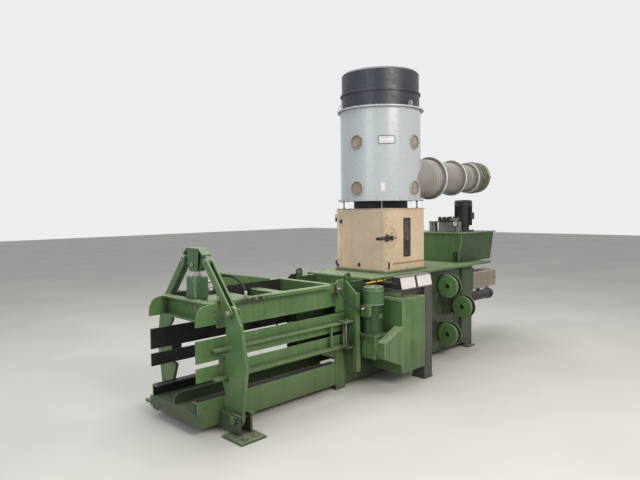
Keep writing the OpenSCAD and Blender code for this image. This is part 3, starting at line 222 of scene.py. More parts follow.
def metal(name, colour, rough, scratch=0.5, stretch=(1, 1, 60), dirtAndShade=0.0, dirtAndShadeColour=(0.03, 0.025, 0.02)):
    # Bare metal with fine lines, and a dull film of dirt that isn't metallic; for the rubbed steel the
    # near-black film is dirt and painted shade
    m, tree, bsdf, place = startMaterial(name)
    lines = noise(tree, place, 30, 4, stretch)
    film = noise(tree, place, 9, 4)
    shade = mixColours(tree, between(tree, film, 0.4, 0.7), colour, shaded(colour, 0.6))
    if dirtAndShade:
        dirtAndShadeMask = times(tree, between(tree, noise(tree, place, 5.5, 6), 0.36, 0.62), dirtAndShade)
        shade = mixColours(tree, dirtAndShadeMask, shade, dirtAndShadeColour)
        tree.links.new(maths(tree, "SUBTRACT", 1.0, dirtAndShadeMask), bsdf.inputs["Metallic"])
    else:
        bsdf.inputs["Metallic"].default_value = 1.0
    tree.links.new(shade, bsdf.inputs["Base Color"])
    tree.links.new(between(tree, lines, 0.3, 0.7, (rough, rough + 0.2 * scratch)), bsdf.inputs["Roughness"])
    bumpFrom(tree, bsdf, lines, 0.05, 0.001)
    return m


def rubberLike(name, colour, rough=0.62, dusty=1.9):
    # A dark, dull skin with a thin film of dust
    m, tree, bsdf, place = startMaterial(name)
    film = noise(tree, place, 14, 4)
    grain = noise(tree, place, 300, 2)
    dusted = tuple(c * dusty + 0.008 for c in colour)
    shade = mixColours(tree, between(tree, film, 0.42, 0.72), colour, dusted)
    tree.links.new(shade, bsdf.inputs["Base Color"])
    tree.links.new(between(tree, film, 0.3, 0.7, (rough - 0.1, rough + 0.1)), bsdf.inputs["Roughness"])
    bumpFrom(tree, bsdf, grain, 0.15, 0.001)
    return m


def dustyGlass(name, colour, haze):
    # Dark glass, shiny where the haze is thin
    m, tree, bsdf, place = startMaterial(name)
    film = noise(tree, place, 18, 5)
    tree.links.new(mixColours(tree, between(tree, film, 0.38, 0.72), colour, haze), bsdf.inputs["Base Color"])
    tree.links.new(between(tree, film, 0.35, 0.7, (0.08, 0.38)), bsdf.inputs["Roughness"])
    return m


# Oil stains, and a painted shadow behind the wire wheels drawn the same way: centre, reach on each axis,
# strength
oilPlaces = [
    ((0.27, -0.36, 0.925), (0.22, 0.08, 0.062), 1.0), ((0.05, 0.0, 0.90), (0.20, 0.16, 0.08), 0.7),
    ((1.17, -0.35, 0.86), (0.08, 0.08, 0.14), 1.0), ((1.46, -0.50, 0.47), (0.16, 0.16, 0.10), 0.8),
    ((0.10, -0.49, 0.13), (0.14, 0.12, 0.14), 0.7), ((3.55, 0.0, 1.30), (0.40, 0.30, 0.12), 0.8),
    ((1.27, -0.38, 0.40), (0.14, 0.10, 0.30), 0.7)]
# A painted shadow on the press side behind the wire wheels
wheelShade = [((2.93, -0.33, 0.52), (0.36, 0.07, 0.40), 0.85)]
latchStain = [((1.99, -0.33, 1.31), (0.10, 0.05, 0.12), 0.35)]
look = dict(
    green=paint("green_paint", (0.070, 0.150, 0.048), (0.105, 0.182, 0.064), stainsAndShadows=oilPlaces),
    # Each edge paint is its paint made paler: worn paint, and a painted highlight along the edges
    greenEdge=paint("green_edge", (0.155, 0.245, 0.115), (0.21, 0.29, 0.15), 0.25, 0.35, 0.1, chips=0.6),
    cool=paint("green_side_paint", (0.046, 0.112, 0.044), (0.062, 0.136, 0.055), runs=0.3),
    # The wheels' green is the green made lighter as painted light on the wheels
    wheel=paint("green_wheel_painted_light", (0.100, 0.205, 0.072), (0.130, 0.235, 0.092), grimeAndShade=0.45, runs=0.15),
    # The dark green is the green darkened as painted shade, for the press sides and the tank's near side,
    # with its edge paint
    dark=paint("dark_green_paint", (0.036, 0.068, 0.028), (0.048, 0.083, 0.037), 0.35, runs=0.5,
               stainsAndShadows=wheelShade),
    darkEdge=paint("dark_green_edge", (0.085, 0.14, 0.075), (0.11, 0.16, 0.09), 0.2, 0.4, 0.1, chips=0.4),
    cream=paint("cream_paint", (0.585, 0.455, 0.315), (0.625, 0.495, 0.350), 0.15, 0.5, 0.12, 0.5,
                stainsAndShadows=latchStain),
    creamEdge=paint("cream_edge", (0.68, 0.56, 0.42), (0.72, 0.60, 0.46), 0.1, 0.3, 0.05, chips=0.3),
    grey=paint("grey_paint", (0.425, 0.462, 0.488), (0.440, 0.474, 0.498), 0.15, 0.3, 0.04, 0.24, spots=0.06,
               patchy=0.03, grit=0.03),
    greyEdge=paint("grey_edge", (0.52, 0.55, 0.57), (0.55, 0.58, 0.60), 0.1, 0.2, 0.05, chips=0.3),
    duct=paint("duct_paint", (0.222, 0.205, 0.190), (0.262, 0.240, 0.222), 0.3, 0.4, 0.25, 0.34),
    ductEdge=paint("duct_edge", (0.38, 0.355, 0.33), (0.42, 0.39, 0.36), 0.1, 0.3, 0.1, chips=0.3),
    violet=paint("violet_paint", (0.056, 0.052, 0.054), (0.068, 0.063, 0.063), 0.25, 0.4, 0.2, 0.45),
    violetEdge=paint("violet_edge", (0.16, 0.15, 0.16), (0.19, 0.18, 0.18), 0.1, 0.3, 0.1, chips=0.4),
    navy=paint("navy_paint", (0.018, 0.022, 0.036), (0.026, 0.030, 0.042), 0.35, 0.3, 0.15),
    olive=paint("olive_paint", (0.070, 0.072, 0.036), (0.092, 0.092, 0.048), 0.2, 0.5, 0.2),
    black=paint("black_paint", (0.014, 0.014, 0.015), (0.02, 0.02, 0.021), 0.15, 0.3, 0.1, 0.38),
    box=paint("box_paint", (0.228, 0.200, 0.148), (0.265, 0.235, 0.176), 0.3, 0.5, 0.25, 0.45),
    white=paint("white_plate", (0.66, 0.61, 0.60), (0.69, 0.65, 0.64), 0.05, 0.2, 0.03, 0.4, spots=0.15),
    yellow=paint("yellow_paint", (0.60, 0.36, 0.035), (0.64, 0.42, 0.06), 0.1, 0.4, 0.1),
    seal=paint("seal_paint", (0.44, 0.39, 0.33), (0.48, 0.43, 0.36), 0.1, 0.3, 0.1),
    # A dark orange-brown: painted shadow along the chute's fold, and the worn arc round the latch
    foldShadowAndWear=paint("fold_shadow_and_wear_paint", (0.36, 0.20, 0.105), (0.40, 0.24, 0.13), 0.1, 0.4, 0.1),
    # Rubbed steel inside the bale channel, near black from the rubbing and from painted shade of the channel
    rubbedAndShaded=metal("bare_steel_rubbed_and_shaded", (0.055, 0.054, 0.052), 0.45, 0.6, (60, 1, 60), 0.9,
                 (0.008, 0.008, 0.008)),
    steel=metal("bare_steel", (0.36, 0.35, 0.33), 0.34, dirtAndShade=0.35),
    chrome=metal("bright_steel", (0.80, 0.81, 0.82), 0.10, 0.3),
    zinc=metal("zinc_steel", (0.50, 0.47, 0.40), 0.30, dirtAndShade=0.3),
    rubber=rubberLike("black_rubber", (0.010, 0.010, 0.011), 0.62, 1.3),
    plastic=rubberLike("black_plastic", (0.016, 0.017, 0.019), 0.42),
    glass=dustyGlass("dark_glass", (0.030, 0.026, 0.020), (0.14, 0.115, 0.085)),
    pane=dustyGlass("porthole_glass", (0.27, 0.215, 0.175), (0.36, 0.30, 0.25)),
)
print("materials made")

# Directions, and the two sides of the machine
toBack, toFar, up = (1, 0, 0), (0, 1, 0), (0, 0, 1)
toFront, toNear, down = (-1, 0, 0), (0, -1, 0), (0, 0, -1)
both = (-1, 1)
corners = [(a, b) for a in both for b in both]


# Shapes, each as (points, faces)
def gridFaces(rows, columns):
    # Quads between neighbouring rings of a grid: ring i, place k along the ring, closed round
    i, k = np.meshgrid(np.arange(rows - 1), np.arange(columns), indexing="ij")
    after = (k + 1) % columns
    first, second = i * columns, (i + 1) * columns
    quads = np.stack([first + k, first + after, second + after, second + k], -1)
    return quads.reshape(-1, 4).tolist()


def ringStack(rings):
    # Rings of equally many points, joined in order, with a flat face over each end
    rings = np.asarray(rings)
    rows, columns = rings.shape[:2]
    ends = [list(range(columns))[::-1], list(range((rows - 1) * columns, rows * columns))]
    return rings.reshape(-1, 3), gridFaces(rows, columns) + ends


def sideways(axis):
    # The axis at length 1, and two directions across it
    axis = np.array(axis, float) / np.linalg.norm(axis)
    u = np.cross(axis, (0, 0, 1) if abs(axis[2]) < 0.9 else (1, 0, 0))
    u /= np.linalg.norm(u)
    return axis, u, np.cross(axis, u)


def turned(profile, base, axis, sides=32, turn=0.0):
    # A profile of (radius, height): point = base + height * axis + radius * (cos a * u + sin a * v)
    axis, u, v = sideways(axis)
    a = turn + np.arange(sides) * 2 * np.pi / sides
    r, h = np.array(profile, float).T
    around = np.cos(a)[:, None] * u + np.sin(a)[:, None] * v
    return ringStack(np.array(base) + h[:, None, None] * axis + r[:, None, None] * around)


def hoop(profile, base, axis, sides=48):
    # A closed profile of (radius, height) swept right round the axis, as a washer or a rim
    axis, u, v = sideways(axis)
    a = np.arange(sides) * 2 * np.pi / sides
    r, h = np.array(profile, float).T
    around = np.cos(a)[:, None] * u + np.sin(a)[:, None] * v
    points = np.array(base) + h[None, :, None] * axis + r[None, :, None] * around[:, None]
    points = np.concatenate([points, points[:1]])
    return points.reshape(-1, 3), gridFaces(sides + 1, len(r))


def joined(shapes):
    # The shapes as one: each one's faces count on from the points before it
    points, faces, first = [], [], 0
    for p, f in shapes:
        points.append(np.asarray(p))
        faces += [[k + first for k in face] for face in f]
        first += len(p)
    return np.vstack(points), faces


def box(low, high):
    # A block between two opposite corners: point = low + (0 or 1 on each axis) * (high - low)
    low, high = np.minimum(low, high), np.maximum(low, high)
    units = np.array([[x, y, z] for x in (0, 1) for y in (0, 1) for z in (0, 1)])
    faces = [[0, 1, 3, 2], [4, 6, 7, 5], [0, 4, 5, 1], [2, 3, 7, 6], [0, 2, 6, 4], [1, 5, 7, 3]]
    return low + units * (high - low), faces


def plate(outline, origin, u, v, thickness):
    # An outline of (s, t) in the plane of u and v, thickened along their cross product
    u, v = (np.array(w, float) / np.linalg.norm(w) for w in (u, v))
    out = np.cross(u, v)
    s, t = np.array(outline, float).T
    ring = np.array(origin) + s[:, None] * u + t[:, None] * v
    return ringStack([ring, ring + thickness * out])


def frameOf(outer, inner, origin, u, v, thickness):
    # A flat frame between two outlines of equally many points: its four-cornered section goes right round
    u, v = (np.array(w, float) / np.linalg.norm(w) for w in (u, v))
    out = np.cross(u, v) * thickness
    o, i = (np.array(origin) + np.array(e)[:, :1] * u + np.array(e)[:, 1:] * v for e in (outer, inner))
    rings = np.stack([o, o + out, i + out, i], 1)
    rings = np.concatenate([rings, rings[:1]])
    return rings.reshape(-1, 3), gridFaces(len(rings), 4)


def rounded(width, height, r, steps=5):
    # A rectangle about the origin whose corners are quarter circles
    a = np.linspace(0, np.pi / 2, steps)
    quarters = [(1, 1, 0), (-1, 1, 1), (-1, -1, 2), (1, -1, 3)]
    turns = [(sx, sy, t + q * np.pi / 2) for sx, sy, q in quarters for t in a]
    return [(sx * (width / 2 - r) + r * math.cos(t), sy * (height / 2 - r) + r * math.sin(t))
            for sx, sy, t in turns]


def curvedPlate(centre, radius, angles, heights, thickness, steps=16):
    # A plate bent round a vertical drum: point = centre + (radius or outside) * (cos a, sin a) + height
    a = np.linspace(*np.radians(angles), steps)
    low, high = heights
    outside = radius + thickness
    r, h = np.array([(radius, low), (outside, low), (outside, high), (radius, high)]).T
    x = centre[0] + np.cos(a)[:, None] * r
    y = centre[1] + np.sin(a)[:, None] * r
    return ringStack(np.stack([x, y, np.broadcast_to(h, x.shape)], -1))


# Bolt heads: every size as a share of the head's radius across its corners; turn is radians for each metre
bolt = dict(washer=1.28, washerHeight=0.16, height=0.72, chamfer=0.14, face=0.84, thread=0.5, tip=0.4,
            tipHeight=0.1, turn=7)


def hexHead(place, axis, size, washer=True, thread=0.0):
    # A washer, a six-sided head with a turned-down top, and a stub of thread; its place sets its turn
    axis = np.array(axis, float) / np.linalg.norm(axis)
    place = np.array(place, float)
    made = []
    low = 0.0
    if washer:
        low = bolt["washerHeight"] * size
        made.append(turned([(bolt["washer"] * size, 0), (bolt["washer"] * size, low)], place, axis, 16))
    top = low + bolt["height"] * size
    profile = [(size, low), (size, top - bolt["chamfer"] * size), (bolt["face"] * size, top)]
    made.append(turned(profile, place, axis, 6, place.sum() * bolt["turn"]))
    if thread:
        r = bolt["thread"] * size
        end = top + thread
        stub = [(r, top), (r, end - bolt["tipHeight"] * size), (bolt["tip"] * size, end)]
        made.append(turned(stub, place, axis, 12))
    return joined(made)


def heads(places, axis, size, **more):
    # A bolt head at each place
    return joined([hexHead(p, axis, size, **more) for p in places])


def buttonHead(place, axis, r):
    # A low round screw head: its radius falls off as a quarter of an ellipse
    a = np.linspace(0, np.pi / 2.15, 4)
    dome = [(r * math.cos(t), 0.1 * r + 0.45 * r * math.sin(t)) for t in a]
    return turned([(r, 0)] + dome, place, axis, 12)


def screws(places, axis, r):
    # A screw head at each place
    return joined([buttonHead(p, axis, r) for p in places])


def line(a, b, count):
    # Evenly spaced values or places from a to b
    return np.linspace(a, b, count)


def circle(centre, axis, radius, count, turn=0.0):
    # Evenly spaced places: centre + radius * (cos a * u + sin a * v)
    axis, u, v = sideways(axis)
    a = turn + np.arange(count) * 2 * np.pi / count
    return np.array(centre) + radius * (np.cos(a)[:, None] * u + np.sin(a)[:, None] * v)


def boltCircle(centre, axis, radius, count, size, turn=0.0, facing=None, **more):
    # Bolt heads evenly round a circle, looking along its axis or along the facing direction
    return heads(circle(centre, axis, radius, count, turn), axis if facing is None else facing, size, **more)


def smoothRoute(points, steps=6):
    # A curve through the points: each stretch is a cubic whose ends follow the neighbours' directions
    p = np.array(points, float)
    p = np.vstack([2 * p[0] - p[1], p, 2 * p[-1] - p[-2]])
    t = np.arange(steps)[:, None] / steps
    stretches = []
    for a, b, c, d in zip(p[:-3], p[1:-2], p[2:-1], p[3:]):
        bends = (2 * a - 5 * b + 4 * c - d) * t**2
        stretches.append(0.5 * (2 * b + (c - a) * t + bends + (3 * b - a - 3 * c + d) * t**3))
    return np.vstack(stretches + [p[-2:-1]])


def tube(route, radius, sides=16):
    # A circle carried along the route: its frame is turned as little as possible from ring to ring
    route = np.asarray(route, float)
    way = np.gradient(route, axis=0)
    way /= np.linalg.norm(way, axis=1)[:, None]
    u = sideways(way[0])[1]
    a = np.arange(sides) * 2 * np.pi / sides
    rings = []
    for centre, w, r in zip(route, way, np.broadcast_to(radius, len(route))):
        u = u - w * (u @ w)
        u /= np.linalg.norm(u)
        rings.append(centre + r * (np.cos(a)[:, None] * u + np.sin(a)[:, None] * np.cross(w, u)))
    return ringStack(rings)


def bead(a, b, r=0.004, pitch=0.006):
    # A weld bead: a thin tube whose radius rises and falls with each ripple
    a, b = np.array(a, float), np.array(b, float)
    count = max(int(np.linalg.norm(b - a) / pitch) * 3, 4)
    t = np.linspace(0, 1, count)
    return tube(a + t[:, None] * (b - a), r * (1 + 0.16 * np.cos(2 * np.pi * t * count / 3)), 8)


def seam(place, axis, end, side=1):
    # A weld bead from the place to the end's value on one axis; a side of -1 mirrors it across the middle
    stop = dict(zip("xyz", place))
    stop[axis] = end
    return bead(np.array(place) * (1, side, 1), np.array(list(stop.values())) * (1, side, 1))


# Each slot's finish, its edge paint (worn, and paler as a painted highlight), and the other finishes that
# count to it
slotLook = dict(
    green_paint=("green", "greenEdge", "cool", "wheel"), dark_green_paint=("dark", "darkEdge"),
    cream_paint=("cream", "creamEdge", "white", "foldShadowAndWear"), grey_paint=("grey", "greyEdge", "ductEdge"),
    violet_paint=("violet", "violetEdge"), navy_paint=("navy", "navy"),
    olive_paint=("olive", "olive", "yellow"), bright_steel=("chrome", "chrome", "zinc"),
    bare_steel=("steel", "steel"), black_paint=("black", "black", "plastic"),
    black_rubber=("rubber", "rubber"), dark_glass=("glass", "glass"))
finishSlots = {finish: slot for slot, finishes in slotLook.items() for finish in finishes}


def newPiece(name, shape, finish, body="root", bevel=0.0, sharp=35, replaces=(), slot=None):
    # A finished piece from one or more shapes: doubles merged, faces outwards, edges past the angle crisp
    points, faces = joined(shape) if isinstance(shape, list) else shape
    slot = slot or finishSlots[finish]
    mesh = bpy.data.meshes.new(name)
    mesh.from_pydata(np.asarray(points).tolist(), [], faces)
    bm = bmesh.new()
    bm.from_mesh(mesh)
    bmesh.ops.remove_doubles(bm, verts=bm.verts, dist=1e-6)
    bmesh.ops.recalc_face_normals(bm, faces=bm.faces)
    bm.to_mesh(mesh)
    bm.free()
    mesh.materials.append(look[finish])
    mesh.polygons.foreach_set("use_smooth", [True] * len(mesh.polygons))
    mesh.set_sharp_from_angle(angle=math.radians(sharp))
    piece = bpy.data.objects.new(name, mesh)
    bpy.context.scene.collection.objects.link(piece)
    if bevel:
        addBevel(piece, bevel, 0)
    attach(piece, body)
    if replaces:
        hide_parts(*replaces)
    return piece


def addBevel(piece, width, material, segments=2):
    # Rounded edges of one width, in the piece's material of that number
    rounding = piece.modifiers.new("edges", "BEVEL")
    rounding.width = width
    rounding.segments = segments
    rounding.limit_method = "ANGLE"
    rounding.angle_limit = math.radians(32)
    rounding.material = material
    rounding.use_clamp_overlap = True
    weighted = piece.modifiers.new("normals", "WEIGHTED_NORMAL")
    weighted.keep_sharp = True


def dressNode(name, material, edge, width, others):
    # A node with rounded edges in a worn, paler paint, the paleness partly a painted highlight; each of the
    # others is a finish and a test of faces
    source = nodes[name]
    bm = bmesh.new()
    bm.from_mesh(source.data)
    bmesh.ops.remove_doubles(bm, verts=bm.verts, dist=1e-5)
    bmesh.ops.dissolve_limit(bm, angle_limit=math.radians(0.6), verts=bm.verts, edges=bm.edges)
    mesh = bpy.data.meshes.new(name + "_dressed")
    bm.to_mesh(mesh)
    bm.free()
    mesh.materials.clear()
    for key in (material, edge, *(m for m, _ in others)):
        mesh.materials.append(look[key])
    count = len(mesh.polygons)
    centres, normals = np.empty(count * 3), np.empty(count * 3)
    mesh.polygons.foreach_get("center", centres)
    mesh.polygons.foreach_get("normal", normals)
    finish = np.zeros(count, int)
    for k, (_, chosen) in enumerate(others):
        finish[chosen(centres.reshape(-1, 3), normals.reshape(-1, 3))] = k + 2
    mesh.polygons.foreach_set("material_index", finish.tolist())
    mesh.polygons.foreach_set("use_smooth", [True] * count)
    mesh.set_sharp_from_angle(angle=math.radians(30))
    piece = bpy.data.objects.new(name + "_dressed", mesh)
    bpy.context.scene.collection.objects.link(piece)
    addBevel(piece, width, 1)
    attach(piece, source["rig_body"])
    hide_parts(name)
    return piece


# Tests of a node's faces, from their centres c and normals n; facing is the share of n along an axis
faceTests = dict(facing=0.7, halfWidth=0.36, end=1.3, wheelRadii=(0.05, 0.113), wheelFlat=0.97, chuteFoot=0.9885)


def looksInwards(c, n):
    # Faces that look to the machine's middle line
    return n[:, 1] * np.sign(c[:, 1]) < -faceTests["facing"]


def channelInside(c, n):
    # Faces of beams and rails that rub against the bale and lie in the channel's shade, which is painted on
    # them
    return looksInwards(c, n) & (np.abs(c[:, 1]) < faceTests["halfWidth"]) & (c[:, 0] < faceTests["end"])


def lowerInside(c, n):
    # The lower beams rub on their tops as well; these faces take the same rubbed steel and painted shade
    return channelInside(c, n) | (n[:, 2] > faceTests["facing"]) | looksInwards(c, n)


def wheelGroove(c, n):
    # Faces of a wheel between its two rims: sloping or level along X, inside the rim's radius
    low, high = c.min(0), c.max(0)
    away = np.hypot(c[:, 1] - (low[1] + high[1]) / 2, c[:, 2] - (low[2] + high[2]) / 2)
    inner, outer = faceTests["wheelRadii"]
    return (away < outer) & (away > inner) & (np.abs(n[:, 0]) < faceTests["wheelFlat"])


def tankNearSide(c, n):
    # The tank's faces that look to the operator's side, which take the dark green as painted shade
    return n[:, 1] * -1 > faceTests["facing"]


def chuteFoot(c, n):
    # The chute's faces below the top of its foot
    return c[:, 2] < faceTests["chuteFoot"]


wheelNames = ("wheel_upper", "wheel_lower", "wheel_rear")
nodeLook = dict(
    duct_sections=("duct", "ductEdge"), duct_clamps=("duct", "ductEdge"), duct_coupling=("olive", "olive"),
    electrical_box=("box", "creamEdge"), porthole_panes=("pane", "pane"), porthole_rings=("seal", "seal"),
    drum_sleeve=("rubber", "rubber"), hose_fittings=("zinc", "zinc"),
    **dict.fromkeys(("squeeze_cylinder", "fan_cover", "motor_body", "crosshead"), ("cool", "greenEdge")),
    **dict.fromkeys(wheelNames, ("wheel", "greenEdge")))
# The tank's near side takes the dark green as painted shade; the rubbed steel is partly painted shade
innerLook = dict(
    lower_beams=[("rubbedAndShaded", lowerInside)], oil_tank=[("dark", tankNearSide)],
    chute_body=[("green", chuteFoot)],
    **dict.fromkeys(("side_beams", "rails_near", "rails_far"), [("rubbedAndShaded", channelInside)]),
    **dict.fromkeys(wheelNames, [("rubbedAndShaded", wheelGroove)]))
edgeWidths = dict(
    usual=0.0016, drum_shell=0.003, chute_body=0.0022, guard_box=0.003, oil_tank=0.003, console_desk=0.002,
    fan_cover=0.0012, duct_sections=0.0008, duct_clamps=0.0012, motor_body=0.0006, hose_fittings=0.0006,
    pump_motor=0.0008)
ownPieces = {"squeeze_hoses", "motor_cable"}
for name in nodes:
    if name not in ownPieces:
        material, edge = nodeLook.get(name) or slotLook[frameSlots[name]][:2]
        dressNode(name, material, edge, edgeWidths.get(name, edgeWidths["usual"]), innerLook.get(name, ()))
print("frame dressed")

# Squeeze gear: places are (y, z) of the pins' axes, which all run along X
gear = dict(leverPin=(0.446, 0.866), basePin=(0.490, 0.120), linkPin=(0.150, 1.213),
            rodEye=1.185, pinFace=0.046, bolt=0.011, cylinderTop=1.090, gland=0.041, rodHole=0.0285,
            tieNut=0.009, tieSpread=0.047)


def pinKeeper(x, y, z, way, r=0.021):
    # A round keeper plate with a bolt in its middle and a grease nipple above the bolt
    face = x + way * 0.005
    nipple = [(0.004, 0), (0.004, 0.006), (0.0025, 0.007), (0.0035, 0.010), (0.001, 0.013)]
    return joined([turned([(r, 0), (r, 0.004), (r - 0.002, 0.006)], (x, y, z), (way, 0, 0), 24),
                   hexHead((face, y, z), (way, 0, 0), gear["bolt"]),
                   turned(nipple, (face, y, z + r * 0.72), (way, 0, 0.3), 10)])


def linkWasher(y, z, way):
    # A washer round the link pin, and the pin's nut
    washer = [(0.0156, 0.0322), (0.025, 0.0322), (0.025, 0.0355), (0.0156, 0.0355)]
    return joined([hoop(washer, (0, y, z), (way, 0, 0), 28),
                   hexHead((way * 0.039, y, z), (way, 0, 0), 0.0095, washer=False)])


def rodPinEnd(z, way):
    # The end of the rod eye's pin, with its nut
    disc = [(0.0175, 0), (0.0175, 0.003), (0.016, 0.004)]
    return joined([turned(disc, (way * 0.0452, 0, z), (way, 0, 0), 20),
                   hexHead((way * 0.049, 0, z), (way, 0, 0), 0.008, washer=False)])


def basePinCover(x, y, z, way):
    # A round cover over a base pin's end, with three screws
    return joined([turned([(0.030, 0), (0.030, 0.005), (0.027, 0.008)], (x, y, z), (way, 0, 0), 28),
                   boltCircle((x + way * 0.007, y, z), (way, 0, 0), 0.019, 3, 0.0055, 0.5, washer=False)])


y, z = gear["leverPin"]
for side, sign in (("near", -1), ("far", 1)):
    keepers = [pinKeeper(way * gear["pinFace"], sign * y, z, way) for way in both]
    newPiece("lever_pin_keepers_" + side, keepers, "zinc", "lever_" + side, 0.0004)
y, z = gear["linkPin"]
washers = [linkWasher(sy * y, z, way) for sy, way in corners]
newPiece("crosshead_pin_washers", washers, "zinc", "crosshead", 0.0003)
newPiece("rod_eye_pin_ends", [rodPinEnd(gear["rodEye"], way) for way in both], "zinc", "crosshead")
y, z = gear["basePin"]
newPiece("base_pin_covers", [basePinCover(x, sy * y, z, way)
                             for sy in both for x, way in ((-0.0545, -1), (0.0905, 1))], "green")
hole, gland, top = gear["rodHole"], gear["gland"], gear["cylinderTop"]
glandRing = [(hole, 0), (gland, 0), (gland, 0.008), (gland - 0.004, 0.012),
             (hole + 0.002, 0.012), (hole, 0.009)]
newPiece("cylinder_gland", [
    hoop(glandRing, (0, 0, top), up),
    heads([(sx * gear["tieSpread"], sy * gear["tieSpread"], top) for sx, sy in corners], up, gear["tieNut"],
          thread=0.005)], "steel")
newPiece("cylinder_tie_plates", [
    box((-0.0655, -0.082, 0.945), (-0.0615, -0.060, 0.985)),
    heads([(-0.062, y, z) for y in (-0.042, 0.042) for z in (0.955, 1.068)], toFront, 0.006)], "greenEdge")
print("squeeze gear fitted")

# Beams: rows of bolts as (places on x, y, z, size, thread), the same on both sides
beams = dict(
    endY=0.332, endBolt=0.0105,
    rows=[((0.085, 0.19, 0.295, 0.40), 0.284, 0.885, 0.009, 0),
          ((-0.046, 0.046), 0.622, 0.018, 0.019, 0.022),
          ((2.185, 2.265, 3.335, 3.415), 0.356, 0.018, 0.012, 0.01),
          ((0.762, 0.828), 0.250, 0.888, 0.009, 0)])
# Weld seams as (start, axis, end); those of the first list are on both sides
sideSeams = [
    ((-0.061, 0.3185, 0.792), "z", 0.920), ((-0.120, 0.3185, 0.7905), "x", -0.064),
    ((-0.045, 0.3205, 0.935), "z", 0.944), ((0.06, 0.3205, 0.9365), "x", 1.02),
    ((1.1895, 0.3145, 0.752), "z", 0.943), ((1.2995, 0.3265, 0.18), "z", 0.36),
    ((1.2995, 0.3265, 0.70), "z", 0.94), ((1.3145, 0.3265, 0.18), "z", 0.93),
    ((1.181, 0.3205, 0.003), "z", 0.345), ((-0.0565, 0.463, 0.1495), "y", 0.550),
    ((-0.057, 0.445, 0.0185), "y", 0.551), ((0.077, 0.445, 0.0185), "y", 0.551),
    ((1.2995, 0.328, 0.6175), "y", 0.428), ((1.31, 0.3075, 0.9455), "x", 1.38),
    ((1.31, 0.3265, 0.9455), "x", 1.38)]
crossSeams = [((-0.047, -0.30, 0.8855), "y", 0.30), ((0.499, -0.30, 0.870), "y", 0.30),
              ((0.741, -0.305, 0.8885), "x", 0.849), ((0.741, 0.305, 0.8885), "x", 0.849)]
boltRows = []
for sy in both:
    endBolts = [(-0.075, z) for z in (0.802, 0.842, 0.882)] + [(-0.030, 0.800)]
    places = [(x, sy * beams["endY"], z) for x, z in endBolts]
    boltRows.append(heads(places, (0, sy, 0), beams["endBolt"], thread=0.006))
    for xs, y, z, size, thread in beams["rows"]:
        boltRows.append(heads([(x, sy * y, z) for x in xs], up, size, thread=thread))
newPiece("frame_bolts", boltRows, "steel")
newPiece("weld_beads", [seam(*s, side=sy) for sy in both for s in sideSeams]
         + [seam(*s) for s in crossSeams], "green", sharp=80)
newPiece("bracket_bolts", [heads([(x, sy * 0.400, 0.6175) for x in (1.252, 1.200)], up, 0.011, thread=0.008)
                           for sy in both], "steel")
newPiece("portal_manifold", [
    box((1.184, -0.3385, 0.868), (1.226, -0.3205, 0.932)),
    turned([(0.008, 0), (0.008, 0.012), (0.005, 0.012), (0.005, 0.02)], (1.205, -0.33, 0.932), up, 14),
    heads([(1.19, -0.3385, 0.876), (1.22, -0.3385, 0.924)], toNear, 0.004, washer=False)],
    "steel", bevel=0.0015)
print("beams fitted")


# Hoses and motor cable: the frame's own routes, as smooth rubber tubes with crimped sleeves
def hoseRoute(a, stubA, leadA, b, stubB, leadB, steps=34):
    # A cubic from one stub to the other, with the two straight stubs added; millimetres in, metres out
    a, stubA, leadA, b, stubB, leadB = (np.array(v, float) / 1000 for v in (a, stubA, leadA, b, stubB, leadB))
    p, q = a + stubA, b + stubB
    t = np.linspace(0, 1, steps)[:, None]
    s = 1 - t
    bow = s**3 * p + 3 * s**2 * t * (p + leadA) + 3 * s * t**2 * (q + leadB) + t**3 * q
    return np.vstack([line(a, p, 4)[:-1], bow, line(q, b, 4)[1:]])


def sleeves(route, r, length):
    # A crimped sleeve at each end: the radius dips at the crimps
    made = []
    dips = [(0.003, 0.005), (0.0015, 0.008), (0.003, 0.011), (0.003, 0.017), (0.0015, 0.020), (0.003, 0.023)]
    profile = [(r + more, h) for more, h in [(-0.001, -0.004), (0.002, 0), *dips, (0.001, length)]]
    for a, b in ((route[0], route[2]), (route[-1], route[-3])):
        made.append(turned(profile, a, (b - a) / np.linalg.norm(b - a), 20))
    return joined(made)


# Each hose: radius, sleeve length, and its route as end, stub and lead at either side
hoses = dict(
    upper=(0.0098, 0.030, ((82, -20, 1048), (18, 0, 0), (80, -60, 75),
                           (194, -345, 965), (0, 0, 20), (-4, 55, 130))),
    lower=(0.0098, 0.030, ((82, -42, 985), (17, 0, 0), (30, -12, 0),
                           (140, -70, 905), (0, 0, 20), (0, 0, 35))),
    cable=(0.0078, 0.026, ((1205, -340, 896), (0, -16, 0), (-55, -48, -16),
                           (1327, -518.5, 726), (-24, 0, 0), (-136, 18, 2))))
tubes = {k: tube(hoseRoute(*route), r) for k, (r, _, route) in hoses.items()}
newPiece("squeeze_hose_tubes", [tubes["upper"], tubes["lower"]], "rubber", sharp=70,
         replaces=["squeeze_hoses"])
newPiece("motor_cable_tube", tubes["cable"], "rubber", sharp=70, replaces=["motor_cable"])
newPiece("hose_sleeves", [sleeves(hoseRoute(*route), r, length)
                          for r, length, route in hoses.values()], "zinc")
print("hoses fitted")

